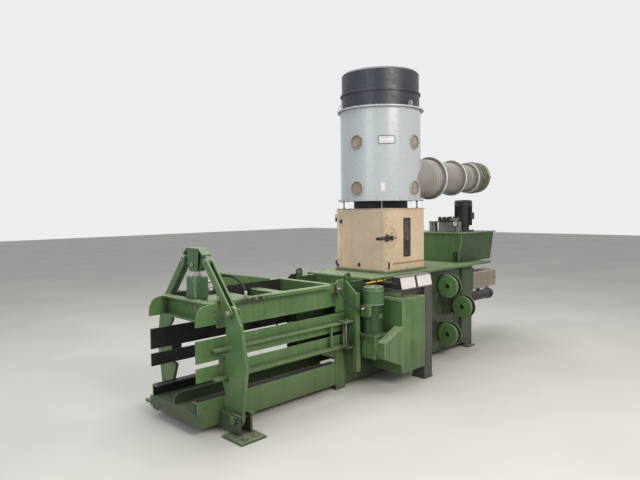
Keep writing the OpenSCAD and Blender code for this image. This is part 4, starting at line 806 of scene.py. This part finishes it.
# Drive of the wire binder: motor, gearbox and guards; the guard box as left, right, foot and top
drive = dict(axis=(1.463, -0.5185), gearTop=0.488, gearHalf=0.0875, gearMiddle=0.378, plateZ=0.655,
             eyeZ=0.741, eyeRadius=0.0145, fanZ=0.762, fanRadius=0.0915, guardFace=-0.701,
             guardBox=(1.639, 1.984, 0.124, 0.791))
motorX, motorY = drive["axis"]
gearLeft = motorX - drive["gearHalf"]
newPiece("gearbox_bolts", [
    heads([(motorX + sx * 0.080, motorY + sy * 0.080, drive["gearTop"]) for sx, sy in corners], up,
          0.008, thread=0.004),
    boltCircle((motorX - 0.010, -0.618, 0.375), toNear, 0.066, 8, 0.0065),
    heads([(gearLeft, motorY + y, z) for y in (-0.066, 0.066) for z in (0.30, 0.345, 0.41, 0.46)],
          toFront, 0.006)],
    "steel")
newPiece("gearbox_cover", [
    plate(rounded(0.110, 0.120, 0.02), (gearLeft, motorY, drive["gearMiddle"]), toNear, up, 0.008),
    turned([(0.013, 0), (0.013, 0.004), (0.010, 0.006), (0.010, 0.011)],
           (gearLeft - 0.0075, motorY + 0.030, 0.425), toFront, 20),
    turned([(0.011, 0), (0.011, 0.010), (0.009, 0.012)], (motorX - 0.06, -0.600, 0.4885), up, 20),
    boltCircle((gearLeft - 0.008, motorY, drive["gearMiddle"]), toFront, 0.058, 6, 0.005, 0.3)],
    "green", bevel=0.0012)
motorFoot = (motorX, motorY, drive["gearTop"] + 0.0005)
newPiece("motor_foot_bolts", boltCircle(motorFoot, up, 0.0865, 6, 0.0055, 0.35), "steel")
newPiece("motor_blank_plate", [
    plate(rounded(0.062, 0.040, 0.004), (motorX, motorY - 0.0768, drive["plateZ"]), toBack, up, 0.0012),
    screws([(motorX + sx * 0.026, motorY - 0.0775, drive["plateZ"] + sz * 0.015) for sx, sz in corners],
           toNear, 0.002)],
    "cool", bevel=0.0003)
bend = line(-0.35 * np.pi, 1.35 * np.pi, 20)
eyeX = motorX + drive["eyeRadius"] * np.cos(bend)
eyeZ = drive["eyeZ"] + drive["eyeRadius"] * np.sin(bend)
newPiece("motor_lifting_eye", [
    tube(np.stack([eyeX, np.full(20, motorY + 0.083), eyeZ], 1), 0.0042, 12),
    turned([(0.010, 0), (0.010, 0.004), (0.005, 0.007), (0.005, 0.014)],
           (motorX, motorY + 0.083, 0.716), up, 16),
    box((motorX - 0.012, motorY + 0.070, 0.706), (motorX + 0.012, motorY + 0.096, 0.717))], "greenEdge")
fanMiddle = np.array((motorX, motorY, drive["fanZ"]))
newPiece("fan_cover_screws", [buttonHead(p, p - fanMiddle, 0.0042)
                              for p in circle(fanMiddle, up, drive["fanRadius"], 8, 0.4)], "steel")
fanBand = [(0.0915, 0), (0.0935, 0.001), (0.0945, 0.004), (0.0935, 0.007), (0.0915, 0.008)]
newPiece("fan_cover_bands", [hoop(fanBand, (motorX, motorY, z), up, 64) for z in (0.7515, 0.876)],
         "greenEdge")
newPiece("terminal_box_trim", [
    screws([(1.347, motorY + sy * 0.040, 0.702 + sz * 0.039) for sy, sz in corners], toFront, 0.0035),
    turned([(0.013, 0), (0.013, 0.007), (0.010, 0.010), (0.010, 0.020), (0.008, 0.022)],
           (1.362, motorY - 0.018, 0.655), down, 6),
    box((1.3455, motorY - 0.030, 0.668), (1.3475, motorY + 0.030, 0.672))], "plastic", slot="black_rubber")

left, right, foot, top = drive["guardBox"]
guardFace = drive["guardFace"] - 0.003
edgePlaces = [(x, z) for x in line(left + 0.026, right - 0.026, 4) for z in (foot + 0.024, top - 0.026)]
edgePlaces += [(x, z) for x in (left + 0.026, right - 0.026) for z in line(foot + 0.15, top - 0.15, 3)]
newPiece("guard_box_screws", [
    screws([(x, guardFace, z) for x, z in edgePlaces], toNear, 0.0055),
    screws([(left, y, z) for y in (-0.672, -0.36) for z in (0.60, 0.69, 0.765)], toFront, 0.0055)], "steel")
halfOval = [(0.060 * math.cos(t), 0.012 * math.sin(t)) for t in line(0, np.pi, 9)]
newPiece("guard_box_louvres", [plate(halfOval, (1.81, guardFace, 0.235 + 0.030 * k), toBack, up, 0.005)
                               for k in range(6)], "green", bevel=0.0012)
newPiece("guard_box_lid", [
    plate(rounded(right - left - 0.004, 0.372, 0.008), ((left + right) / 2, -0.5145, top),
          toBack, toFar, 0.003),
    box((left - 0.003, -0.700, top - 0.022), (left, -0.329, top + 0.003)),
    *[turned([(0.006, 0), (0.006, 0.070)], (x, drive["guardFace"] - 0.0065, top - 0.002), toBack, 14)
      for x in (1.68, 1.87)]], "greenEdge", bevel=0.0012)
guardScrews = [(1.42, 0.330), (1.42, 0.415), (1.52, 0.270), (1.52, 0.472), (1.618, 0.230),
               (1.618, 0.512), (1.618, 0.37)]
newPiece("chain_guard_screws", screws([(x, -0.7045, z) for x, z in guardScrews], toNear, 0.005), "steel")
print("drive fitted")

# Console: two blank panels on the leaning front, a dark strip between them and a dark left end
console = dict(left=1.632, right=2.102, foot=0.872, top=0.980, frontLow=-0.701, frontHigh=-0.678,
               panels=((1.636, 1.846), (1.879, 2.098)), strip=(1.850, 1.875), panelHeight=0.100,
               panelDeep=0.0035)
foot, top, frontLow, frontHigh = (console[k] for k in ("foot", "top", "frontLow", "frontHigh"))
lean = np.array((0, frontHigh - frontLow, top - foot))
lean /= np.linalg.norm(lean)
middle = np.array((0, (frontLow + frontHigh) / 2, (foot + top) / 2))
out = np.cross(toBack, lean)


def panel(x0, x1, height, thickness):
    # A round-cornered plate on the leaning front, from x0 to x1
    return plate(rounded(x1 - x0, height, 0.004), middle + ((x0 + x1) / 2, 0, 0), toBack, lean, thickness)


def onFront(x, rise, lift):
    # A place on the leaning front: rise along the lean, and lift out of it
    return middle + (x, 0, 0) + lean * rise + out * lift


panels = [panel(*p, console["panelHeight"], console["panelDeep"]) for p in console["panels"]]
newPiece("console_panels", panels, "white", bevel=0.0008)
newPiece("console_strip", [panel(*console["strip"], 0.106, 0.005),
                           screws([onFront(1.8625, s, 0.005) for s in (-0.040, 0.0, 0.040)], out, 0.004)],
         "plastic", bevel=0.001)
panelScrews = [onFront(x, s, console["panelDeep"]) for x0, x1 in console["panels"]
               for x in (x0 + 0.009, x1 - 0.009) for s in (-0.041, 0.041)]
newPiece("console_screws", screws(panelScrews, out, 0.0032), "zinc")
newPiece("console_end", [
    turned([(0.016, 0), (0.016, 0.008), (0.012, 0.010), (0.012, 0.026), (0.009, 0.029)],
           (1.632, -0.640, 0.925), toFront, 20),
    turned([(0.012, 0), (0.012, 0.006), (0.009, 0.018)], (1.632, -0.605, 0.900), toFront, 16),
    plate(rounded(0.075, 0.088, 0.008), (1.632, -0.634, 0.925), toNear, up, 0.003)], "plastic")
newPiece("console_hood", [
    box((console["left"] - 0.002, frontHigh - 0.010, top), (console["right"], frontHigh + 0.09, top + 0.003)),
    box((console["left"], frontLow - 0.003, foot - 0.004), (console["right"], frontLow + 0.09, foot))],
    "violetEdge", bevel=0.0012)
newPiece("column_cover", [
    plate(rounded(0.090, 0.62, 0.006), (2.043, -0.701, 0.42), toBack, up, 0.0025),
    screws([(2.043 + sx * 0.038, -0.7035, 0.42 + sz * 0.300) for sx, sz in corners], toNear, 0.004),
    box((1.978, -0.703, 0.0), (2.108, -0.555, 0.010))], "violet", bevel=0.001)

# Reach rod: it lies in two clips below the deck's edge, with a grip on each end
rod = dict(y=-0.4315, ends=((1.455, 0.926), (1.735, 0.930)), radius=0.0078, gripRadius=0.0094,
           grips=(((1.428, 0.9256), (1.458, 0.926)), ((1.733, 0.930), (1.770, 0.9305))),
           clips=((1.600, 0.948), (1.700, 0.949)))


def rodPart(ends, radius, count):
    # A straight round length between two places (x, z)
    (x0, z0), (x1, z1) = ends
    return tube(line((x0, rod["y"], z0), (x1, rod["y"], z1), count), radius, 16)


newPiece("reach_rod", rodPart(rod["ends"], rod["radius"], 6), "yellow")
newPiece("reach_rod_grips", [rodPart(g, rod["gripRadius"], 3) for g in rod["grips"]]
         + [box((x, -0.4420, 0.914), (x + 0.010, -0.4200, z)) for x, z in rod["clips"]],
         "plastic", bevel=0.001)
print("console fitted")

# Wire wheels: bolts round the hub, a hub ring and the axle's end, and the carrier's welds and bolts
wheels = dict(x=2.757, y=-0.452, step=0.288,
              heights=dict(wheel_upper=0.764, wheel_lower=0.251, wheel_rear=0.506))
hubRing = [(0.0300, 0), (0.0400, 0), (0.0400, 0.004), (0.0375, 0.006), (0.0300, 0.006)]
carrier = []
for name, z in wheels["heights"].items():
    x = wheels["x"] + (wheels["step"] if name == "wheel_rear" else 0)
    y = wheels["y"]
    hubBolts = boltCircle((x, y, z), toFront, 0.052, 6, 0.0055)
    newPiece(name + "_bolts", [hubBolts, hoop(hubRing, (x, y, z), toFront, 40)], "wheel", name)
    # The axle's end is black as painted shade in the hub's bore
    newPiece(name + "_axle_end", [
        turned([(0.0262, -0.012), (0.0262, 0.004), (0.0235, 0.007)], (x + 0.010, y, z), toFront, 28),
        hexHead((x + 0.0035, y, z), toFront, 0.012)], "black")
    carrier.append(bead((x + 0.0975, -0.3265, z - 0.105), (x + 0.0975, -0.3265, z + 0.105)))
    carrier.append(heads([(x + 0.110, -0.36, z + s) for s in (-0.07, 0.07)], toBack, 0.008, thread=0.005))
newPiece("carrier_beads", carrier, "dark")

# Press body: ribs and a foot rib on each side, bolts along the deck, seams and service plates
press = dict(ribs={-1: (2.20, 2.62, 3.22), 1: (1.75, 2.20, 2.62, 3.05)},
             footRib={-1: 2.12, 1: 1.32}, skin=0.3255, nearPlate=(2.43, -0.326, 0.52),
             farPlate=(2.92, 0.326, 0.52))
ribs = []
for sy, places in press["ribs"].items():
    ribs += [box((x, sy * press["skin"], 0.070), (x + 0.012, sy * 0.346, 0.925)) for x in places]
    ribs.append(box((press["footRib"][sy], sy * press["skin"], 0.058), (3.44, sy * 0.342, 0.070)))
newPiece("press_ribs", ribs, "dark", bevel=0.0015)
newPiece("deck_bolts", [
    *[heads([(x, sy * 0.404, 0.960) for x in np.arange(1.60, 3.74, 0.178)], up, 0.0075) for sy in both],
    *[heads([(x, sy * 0.3255, 0.988) for x in line(1.92, 2.53, 7)], up, 0.0065) for sy in both],
    heads([(2.5605, y, 0.980) for y in line(-0.30, 0.30, 7)], up, 0.0065)], "steel")
deckSeams = [((1.5545, -0.305, 0.9445), "y", 0.305), ((1.879, -0.335, 0.9605), "x", 2.571),
             ((1.879, 0.335, 0.9605), "x", 2.571), ((1.8785, -0.332, 0.9605), "y", 0.332)]
newPiece("deck_seams", [seam(*s) for s in deckSeams], "green", sharp=80)
nearX, farX, plateZ = press["nearPlate"][0], press["farPlate"][0], press["nearPlate"][2]
newPiece("service_plates", [
    plate(rounded(0.30, 0.34, 0.02), press["nearPlate"], toBack, up, 0.006),
    plate(rounded(0.34, 0.42, 0.02), press["farPlate"], toFront, up, 0.006),
    heads([(nearX + x, -0.332, plateZ + z) for x in (-0.13, 0, 0.13) for z in (-0.15, 0.15)],
          toNear, 0.0075),
    heads([(farX + x, 0.332, plateZ + z) for x in (-0.15, 0, 0.15) for z in (-0.19, 0.19)],
          toFar, 0.0075)],
    "dark", bevel=0.001)
print("press fitted")

# Feed chute: strips and studs on the door, bolted corner strip, window seal, latch fittings
chute = dict(low=0.988, high=1.587, doorFace=1.881, latch=(1.965, 1.308), wearRadius=0.098,
             window=(2.236, 1.3035, 0.094, 0.365), hinges=(1.0795, 1.5195),
             doorStuds=((0.250, 1.468), (0.298, 1.017), (0.009, 1.040)))
low, high, doorFace = chute["low"], chute["high"], chute["doorFace"]
newPiece("door_edge_strip", [
    box((doorFace - 0.0025, 0.268, low + 0.006), (doorFace, 0.302, high - 0.006)),
    box((doorFace - 0.0025, -0.311, high - 0.022), (doorFace, 0.268, high - 0.006)),
    box((doorFace - 0.0025, -0.311, low + 0.006), (doorFace, -0.297, high - 0.022))], "creamEdge",
    "chute_door", 0.0008)


def doorStud(y, z):
    # A stepped stud with a small block below it
    profile = [(0.015, 0), (0.015, 0.004), (0.010, 0.006), (0.010, 0.017), (0.007, 0.020)]
    return joined([turned(profile, (doorFace - 0.0015, y, z), toFront, 20),
                   box((doorFace - 0.006, y - 0.011, z - 0.024), (doorFace, y + 0.011, z - 0.010))])


newPiece("door_studs", [doorStud(y, z) for y, z in chute["doorStuds"]], "plastic", "chute_door")
hingeScrews = [(doorFace - 0.005, y, z + s)
               for y in (0.262, 0.290) for z in chute["hinges"] for s in (-0.009, 0.009)]
newPiece("door_hinge_screws", screws(hingeScrews, toFront, 0.0045), "steel", "chute_door")
stripBolts = [(1.910, -0.317, z) for z in line(1.012, 1.565, 9)]
newPiece("corner_strip_bolts", heads(stripBolts, toNear, 0.0062), "zinc")
windowX, windowZ, width, height = chute["window"]
sealOuter = rounded(width + 0.022, height + 0.022, 0.012)
sealInner = rounded(width - 0.002, height - 0.002, 0.004)
newPiece("window_seal", frameOf(sealOuter, sealInner, (windowX, -0.314, windowZ), toBack, up, 0.004),
         "rubber", bevel=0.001)
latchX, latchZ = chute["latch"]
discRim = [(0.060, 0.0048), (0.068, 0.0048), (0.0685, 0.0075), (0.064, 0.0095), (0.060, 0.0075)]
newPiece("latch_disc_rim", [
    hoop(discRim, (latchX, -0.314, latchZ), toNear, 64),
    boltCircle((latchX, -0.319, latchZ), toNear, 0.046, 6, 0.0045, 0.4)], "creamEdge")
swing = np.radians(line(-100, 104, 40))
arcX = latchX + chute["wearRadius"] * np.cos(swing)
arcZ = latchZ + chute["wearRadius"] * np.sin(swing)
newPiece("latch_wear_arc", tube(np.stack([arcX, np.full(40, -0.3142), arcZ], 1), 0.0024, 10), "foldShadowAndWear")
newPiece("latch_pivot", [hexHead((latchX, -0.357, latchZ), toNear, 0.012),
                         turned([(0.013, 0), (0.013, 0.004)], (latchX, -0.3555, latchZ), toNear, 24)],
         "zinc", "door_latch")
newPiece("latch_grip", [
    turned([(0.010, 0), (0.014, 0.006), (0.0155, 0.020), (0.014, 0.034), (0.010, 0.040)],
           (1.748, -0.357, latchZ), toNear, 20),
    box((1.760, -0.3585, latchZ - 0.010), (1.840, -0.3565, latchZ + 0.010))],
    "plastic", "door_latch", 0.0008)
newPiece("latch_catch", [
    box((1.893, -0.329, latchZ + 0.018), (1.925, -0.317, latchZ + 0.034)),
    box((1.893, -0.329, latchZ - 0.034), (1.925, -0.317, latchZ - 0.018))], "black", bevel=0.001)
newPiece("chute_lip_bolts", [
    *[heads([(x, sy * 0.303, 1.593) for x in line(1.905, 2.517, 8)], up, 0.006) for sy in both],
    *[heads([(2.211 + sx * 0.289, sy * 0.248, z) for sx, sy in corners], way, 0.0125)
      for z, way in ((1.593, up), (1.667, down))]], "steel")
newPiece("chute_stiffeners", [
    *[box((1.94, sy * 0.3135, 1.565), (2.525, sy * 0.3165, 1.585)) for sy in both],
    *[box((2.5295, -0.31, z), (2.5325, 0.31, z + 0.020)) for z in (1.04, 1.31, 1.565)],
    *[box((x, 0.3135, 1.00), (x + 0.020, 0.3165, 1.585)) for x in (2.05, 2.36)]], "cream", bevel=0.0008)
# A dark strip along the fold of the chute's near side: painted shadow under the folded lip
newPiece("fold_shadow_strip", box((2.004, -0.3185, 1.0440), (2.528, -0.3165, 1.0620)), "foldShadowAndWear", bevel=0.0006)
print("chute fitted")

# Drum: bolted rims, a seam with rivets, blank plates, screws round the portholes; angles in degrees
drum = dict(axis=(2.211, 0.0), r=0.408, foot=1.667, top=2.580, flange=0.014, rimBolt=0.425, headBolt=0.4065,
            ports=(185.4, 272.5), portZ=(1.792, 2.238), portFace=0.418, seamAngle=330,
            plateAngle=227.6, tagAngle=222.4, lugs=(32, 150, 262))
drumX, drumY = drum["axis"]
foot, top, seamAngle = drum["foot"], drum["top"], drum["seamAngle"]
plateAngle, tagAngle = drum["plateAngle"], drum["tagAngle"]


def onDrum(angle, z, r=drum["r"]):
    # A place at a radius from the drum's axis: (x + r cos a, y + r sin a, z)
    a = math.radians(angle)
    return np.array((drumX + r * math.cos(a), drumY + r * math.sin(a), z))


def drumScrew(angle, z, lift):
    # A screw head lifted off the drum's wall, looking straight out from the axis
    return buttonHead(onDrum(angle, z, drum["r"] + lift), onDrum(angle, z) - (drumX, drumY, z), 0.0035)


def drumPlate(angle, half, heights, lift, thickness, steps=20):
    # A plate bent round the drum: half is its reach to either side of the angle
    angles = (angle - half, angle + half)
    return curvedPlate(drum["axis"], drum["r"] + lift, angles, heights, thickness, steps)


rims = [(foot + drum["flange"], up), (foot, down), (top, up), (top - drum["flange"], down)]
newPiece("drum_rim_bolts", [boltCircle((drumX, drumY, z), up, drum["rimBolt"], 24, 0.0065, 0.07, way)
                            for z, way in rims], "steel")
headRing = boltCircle((drumX, drumY, top + 0.010), up, drum["headBolt"], 24, 0.005, 0.2)
newPiece("drum_head_bolts", headRing, "steel")
newPiece("drum_seam", [drumPlate(seamAngle, 3, (foot + 0.015, top - 0.015), -0.0005, 0.0025, 6)]
         + [drumScrew(seamAngle + s, z, 0.002) for s in (-2, 2) for z in line(foot + 0.05, top - 0.05, 15)],
         "grey")
drumBand = [(0.4075, 0), (0.4105, 0.001), (0.4118, 0.006), (0.4105, 0.011), (0.4075, 0.012)]
newPiece("drum_bands", [hoop(drumBand, (drumX, drumY, z), up, 120) for z in (1.6815, 2.553)], "greyEdge")
newPiece("drum_plate_back", drumPlate(plateAngle, 11.8, (2.207, 2.289), -0.001, 0.0025), "black")
newPiece("drum_plate_face", drumPlate(plateAngle, 10.9, (2.2135, 2.2825), 0.001, 0.0016), "greyEdge")
newPiece("drum_plate_bar", drumPlate(plateAngle, 9.8, (2.236, 2.260), 0.002, 0.0014), "white")
newPiece("drum_tag", drumPlate(tagAngle, 2.95, (1.755, 1.845), -0.001, 0.0028, 8), "white")
newPiece("drum_plate_screws", [drumScrew(plateAngle + s * 11.3, z, 0.0012)
                               for s in both for z in (2.2105, 2.2855)]
         + [drumScrew(tagAngle, z, 0.0015) for z in (1.762, 1.838)], "zinc")
portLip = [(0.0595, 0.0), (0.0625, 0.0), (0.0620, 0.0028), (0.0602, 0.0028)]
portScrews, portLips = [], []
for angle in drum["ports"]:
    way = onDrum(angle, 0, 1.0) - (drumX, drumY, 0)
    for z in drum["portZ"]:
        face = onDrum(angle, z, drum["portFace"])
        portScrews.append(screws(circle(face, way, 0.0666, 10), way, 0.0036))
        portLips.append(hoop(portLip, face, way, 48))
newPiece("porthole_screws", portScrews, "steel")
newPiece("porthole_seals", portLips, "rubber")
lugRing = [(0.011, -0.005), (0.026, -0.005), (0.026, 0.005), (0.011, 0.005)]
lugs = []
for angle in drum["lugs"]:
    a = math.radians(angle)
    lugs.append(hoop(lugRing, onDrum(angle, 2.603, 0.424), (-math.sin(a), math.cos(a), 0), 28))
newPiece("drum_lugs", lugs, "grey", bevel=0.0008)
print("drum fitted")

# Duct: flange bolts, swaged ribs, bands and the drum's weld; rings and ribs are (distance along, radius)
duct = dict(start=(2.211, -0.205, 1.888), rise=2.1, r=0.1965,
            rings=((0.575, 0.1965), (1.010, 0.168), (1.334, 0.144)),
            ribs=((0.445, 0.1965), (0.480, 0.1965), (0.515, 0.1965), (1.09, 0.144), (1.24, 0.144)),
            coupling=(1.368, 1.580, 0.177), couplingInset=0.030)
rise = math.radians(duct["rise"])
along = np.array((math.cos(rise), 0, math.sin(rise)))
start = np.array(duct["start"])
ductRib = [(-0.0008, -0.006), (0.002, -0.003), (0.0028, 0), (0.002, 0.003), (-0.0008, 0.006)]


def ductHoop(profile, s, r):
    # A hoop round the duct at the distance s: the profile's radii are counted from r
    return hoop([(r + more, h) for more, h in profile], start + along * s, along, 96)


newPiece("duct_bolts", [
    boltCircle(start + along * (s + way * 0.012), along, r + 0.019, 12, 0.0058, 0.2, along * way)
    for s, r in duct["rings"] for way in (1, -1)], "steel")
newPiece("duct_ribs", [ductHoop(ductRib, s, r) for s, r in duct["ribs"]], "ductEdge", sharp=60)
ductBand = [(0.0275, -0.013), (0.0300, -0.013), (0.0300, 0.013), (0.0275, 0.013)]
newPiece("duct_bands", [ductHoop(ductBand, s, r) for s, r in duct["rings"]], "greyEdge", bevel=0.0006)
# The weld follows the line where the duct's circle meets the drum's wall
around = line(0, 2 * np.pi, 73)
y = start[1] + duct["r"] * np.cos(around)
x = start[0] + np.sqrt(np.maximum(drum["r"]**2 - y**2, 0.0))
z = start[2] + duct["r"] * np.sin(around) + (x - start[0]) * math.tan(rise)
newPiece("duct_weld", tube(np.stack([x, y, z], 1), 0.0055 * (1 + 0.12 * np.cos(around * 60)), 8),
         "grey", sharp=80)
low, high, r = duct["coupling"]
bandPlaces = (low + duct["couplingInset"], high - duct["couplingInset"])
couplingBand = [(-0.0005, -0.008), (0.003, -0.008), (0.003, 0.008), (-0.0005, 0.008)]


def bandClamp(s):
    # The tightening block of a band, with its bolt
    at = start + along * s
    return joined([box(at + (-0.009, -r - 0.020, -0.012), at + (0.009, -r + 0.004, 0.012)),
                   hexHead(at + (0, -r - 0.010, 0.012), up, 0.007)])


newPiece("coupling_bands", [ductHoop(couplingBand, s, r) for s in bandPlaces]
         + [bandClamp(s) for s in bandPlaces], "zinc", bevel=0.0006, slot="bare_steel")
print("duct fitted")

# Oil supply: pipes to the cylinder, gauge, sight glass, lid bolts, coil plugs
oil = dict(front=3.300, lid=1.303, pipe=0.011, gauge=(3.400, -0.165, 1.405), gaugeRadius=0.034,
           sightGlass=(0.242, 1.12))
pipes = [
    [(3.569, 0.060, 1.345), (3.60, 0.061, 1.345), (3.66, 0.100, 1.345), (3.79, 0.16, 1.345),
     (3.825, 0.20, 1.345), (3.83, 0.315, 1.338), (3.83, 0.348, 1.315), (3.83, 0.350, 1.27),
     (3.83, 0.350, 1.00), (3.83, 0.350, 0.68), (3.822, 0.340, 0.60), (3.80, 0.28, 0.562),
     (3.70, 0.12, 0.557), (3.57, 0.035, 0.555), (3.537, 0.012, 0.548), (3.530, 0.0, 0.520)],
    [(3.569, 0.020, 1.385), (3.60, 0.022, 1.385), (3.67, 0.100, 1.385), (3.86, 0.18, 1.380),
     (3.895, 0.22, 1.375), (3.90, 0.315, 1.345), (3.90, 0.348, 1.318), (3.90, 0.350, 1.27),
     (3.90, 0.350, 1.00), (3.90, 0.350, 0.70), (3.908, 0.338, 0.61), (3.94, 0.26, 0.568),
     (4.02, 0.09, 0.556), (4.12, 0.015, 0.552), (4.36, 0.0, 0.552), (4.41, 0.0, 0.551),
     (4.430, 0.0, 0.540), (4.432, 0.0, 0.515)]]
smoothPipes = [smoothRoute(p, 5) for p in pipes]
union = [(0.020, -0.004), (0.020, 0.018), (0.015, 0.022), (0.015, 0.034)]
newPiece("oil_pipes", [tube(p, oil["pipe"], 14) for p in smoothPipes], "steel", sharp=70)
newPiece("pipe_unions", [turned(union, route[at], route[beside] - route[at], 6)
                         for route in smoothPipes for at, beside in ((0, 3), (-1, -4))], "zinc", bevel=0.001)
newPiece("pipe_clamps", [
    box((3.812, 0.278, 1.140), (3.918, 0.366, 1.168)), box((4.188, -0.018, 0.515), (4.212, 0.018, 0.568)),
    hexHead((3.865, 0.366, 1.154), toFar, 0.006), hexHead((4.2, 0, 0.568), up, 0.006)],
    "plastic", bevel=0.0012)
lid = oil["lid"]
newPiece("tank_lid_bolts", [
    *[heads([(x, sy * 0.308, lid) for x in line(3.31, 4.02, 7)], up, 0.0075) for sy in both],
    *[heads([(x, y, lid) for y in (-0.15, 0.0, 0.15)], up, 0.0075) for x in (3.300, 4.030)]], "steel")
gauge, r = np.array(oil["gauge"]), oil["gaugeRadius"]
newPiece("pressure_gauge", [
    turned([(0.010, 0), (0.030, 0.003), (r, 0.008), (r, 0.024), (r - 0.003, 0.027), (r - 0.004, 0.022)],
           gauge, toFront, 32),
    tube(line(gauge + (-0.012, 0, -0.100), gauge + (-0.012, 0, -0.030), 4), 0.007, 12)], "black")
newPiece("gauge_dial", turned([(r - 0.0042, 0), (r - 0.0042, 0.001)], gauge + (-0.0225, 0, 0),
                              toFront, 32), "white")
newPiece("gauge_needle", box(gauge + (-0.0255, -0.0016, -0.004), gauge + (-0.0240, 0.0016, 0.022)), "black")
glassAt = np.array((oil["front"], *oil["sightGlass"]))
pane = rounded(0.026, 0.110, 0.0129, 8)
newPiece("sight_glass", plate(pane, glassAt - (0.004, 0, 0), toNear, up, 0.003), "glass")
newPiece("sight_glass_frame", [
    frameOf(rounded(0.046, 0.140, 0.018, 8), pane, glassAt, toNear, up, 0.010),
    heads([glassAt + (-0.008, 0, s * 0.0625) for s in both], toFront, 0.006)], "steel", bevel=0.001)
front = oil["front"]
newPiece("tank_latch", [
    plate(rounded(0.050, 0.110, 0.010), (front, -0.215, 1.030), toNear, up, 0.008),
    turned([(0.012, 0), (0.012, 0.020), (0.009, 0.023)], (front - 0.007, -0.215, 1.055), toFront, 18),
    box((front - 0.030, -0.222, 0.985), (front - 0.022, -0.208, 1.065))], "plastic", bevel=0.001)
coilNut = [(0.0235, 0), (0.0235, 0.020), (0.020, 0.024)]


def coilPlug(x, y, way):
    # The square plug on a valve's coil, and the round nut at the coil's end
    return joined([box((x - 0.014, y - 0.014, 1.462), (x + 0.014, y + 0.014, 1.484)),
                   turned(coilNut, (x - way * 0.014, y, 1.446), (way, 0, 0), 24)])


newPiece("coil_plugs", [coilPlug(x, y, way)
                        for y in (-0.077, -0.017, 0.043) for x, way in ((3.377, -1), (3.603, 1))],
         "plastic", bevel=0.001)
valvePlaces = [(x, y, 1.469) for x in (3.455, 3.535) for y in (-0.092, -0.062, -0.032, -0.002, 0.028, 0.058)]
newPiece("valve_bolts", heads(valvePlaces, up, 0.006, washer=False), "black")
newPiece("cylinder_bolts", [
    boltCircle((3.500, 0, 0.458), toBack, 0.081, 8, 0.010, 0.2),
    boltCircle((4.487, 0, 0.458), toBack, 0.046, 6, 0.008),
    box((3.512, -0.022, 0.515), (3.548, 0.022, 0.532)), box((4.414, -0.018, 0.520), (4.450, 0.018, 0.538))],
    "steel")
boxFront = -0.330
cableGland = [(0.014, 0), (0.014, 0.010), (0.011, 0.012), (0.011, 0.026)]
newPiece("electrical_box_fittings", [
    screws([(x, boxFront, z) for x in (3.525, 3.77, 4.015) for z in (0.665, 0.813)], toNear, 0.005),
    turned([(0.011, 0), (0.011, 0.006), (0.006, 0.008), (0.006, 0.014)], (3.99, boxFront, 0.74), toNear, 18),
    *[turned(cableGland, (x, -0.25, 0.6285), down, 6) for x in (3.62, 3.70, 3.78)]], "steel")
pumpBand = [(0.104, 0), (0.108, 0.001), (0.108, 0.010), (0.104, 0.011)]
newPiece("pump_motor_fittings", [
    boltCircle((3.730, -0.060, 1.315), up, 0.118, 8, 0.008),
    box((3.700, -0.190, 1.45), (3.765, -0.158, 1.53)),
    hoop(pumpBand, (3.730, -0.060, 1.603), up, 48)], "black", bevel=0.0012)
print("oil supply fitted")

# Floor, background and lamps; each lamp as name, power, size, place, aim and tint
stage = dict(
    floor=(0.60, 0.58, 0.55), reach=30, sky=(0.93, 0.94, 0.95, 1), light=0.48, seen=0.9,
    lamps=[("key", 300, 3.0, (0.5, -6.0, 4.6), (1.6, 0, 0.8), (1.0, 0.95, 0.86)),
           ("fill", 105, 3.0, (-5.0, -1.0, 3.2), (1.2, 0, 0.8), (0.86, 0.94, 1.0)),
           ("top", 215, 4.0, (2.0, 1.0, 6.0), (2.0, 0, 0.6), (1, 1, 1))])


def makeFloor(colour, reach):
    # One square, a little cloudy in colour
    floor = bpy.data.objects.new("floor", bpy.data.meshes.new("floor"))
    square = [(x * reach, y * reach, 0) for x, y in ((-1, -1), (1, -1), (1, 1), (-1, 1))]
    floor.data.from_pydata(square, [], [(0, 1, 2, 3)])
    bpy.context.scene.collection.objects.link(floor)
    m, tree, bsdf, place = startMaterial("floor")
    cloud = between(tree, noise(tree, place, 0.8, 6), 0.35, 0.7)
    tree.links.new(mixColours(tree, cloud, colour, shaded(colour, 0.9)), bsdf.inputs["Base Color"])
    bsdf.inputs["Roughness"].default_value = 0.75
    floor.data.materials.append(m)


def makeWorld(sky, light, seen):
    # Pale where the camera, a reflection or a glass sees it, and dimmer as a light on the object
    world = bpy.data.worlds.new("studio")
    world.use_nodes = True
    tree = world.node_tree
    back = tree.nodes["Background"]
    rays = put(tree, "ShaderNodeLightPath").outputs
    mirrored = maths(tree, "MAXIMUM", rays["Is Glossy Ray"], rays["Is Transmission Ray"])
    direct = maths(tree, "MAXIMUM", rays["Is Camera Ray"], mirrored)
    back.inputs["Color"].default_value = sky
    tree.links.new(between(tree, direct, 0, 1, (light, seen)), back.inputs["Strength"])
    bpy.context.scene.world = world


def makeLamp(name, power, size, place, aim, tint):
    # A square lamp that looks from its place to the aim
    lamp = bpy.data.lights.new(name, "AREA")
    lamp.energy = power
    lamp.size = size
    lamp.color = tint
    holder = bpy.data.objects.new(name, lamp)
    holder.location = place
    holder.rotation_euler = (Vector(aim) - Vector(place)).to_track_quat("-Z", "Y").to_euler()
    bpy.context.scene.collection.objects.link(holder)


makeFloor(stage["floor"], stage["reach"])
makeWorld(stage["sky"], stage["light"], stage["seen"])
for lamp in stage["lamps"]:
    makeLamp(*lamp)
bpy.context.scene.view_settings.view_transform = "Standard"
print("stage set")
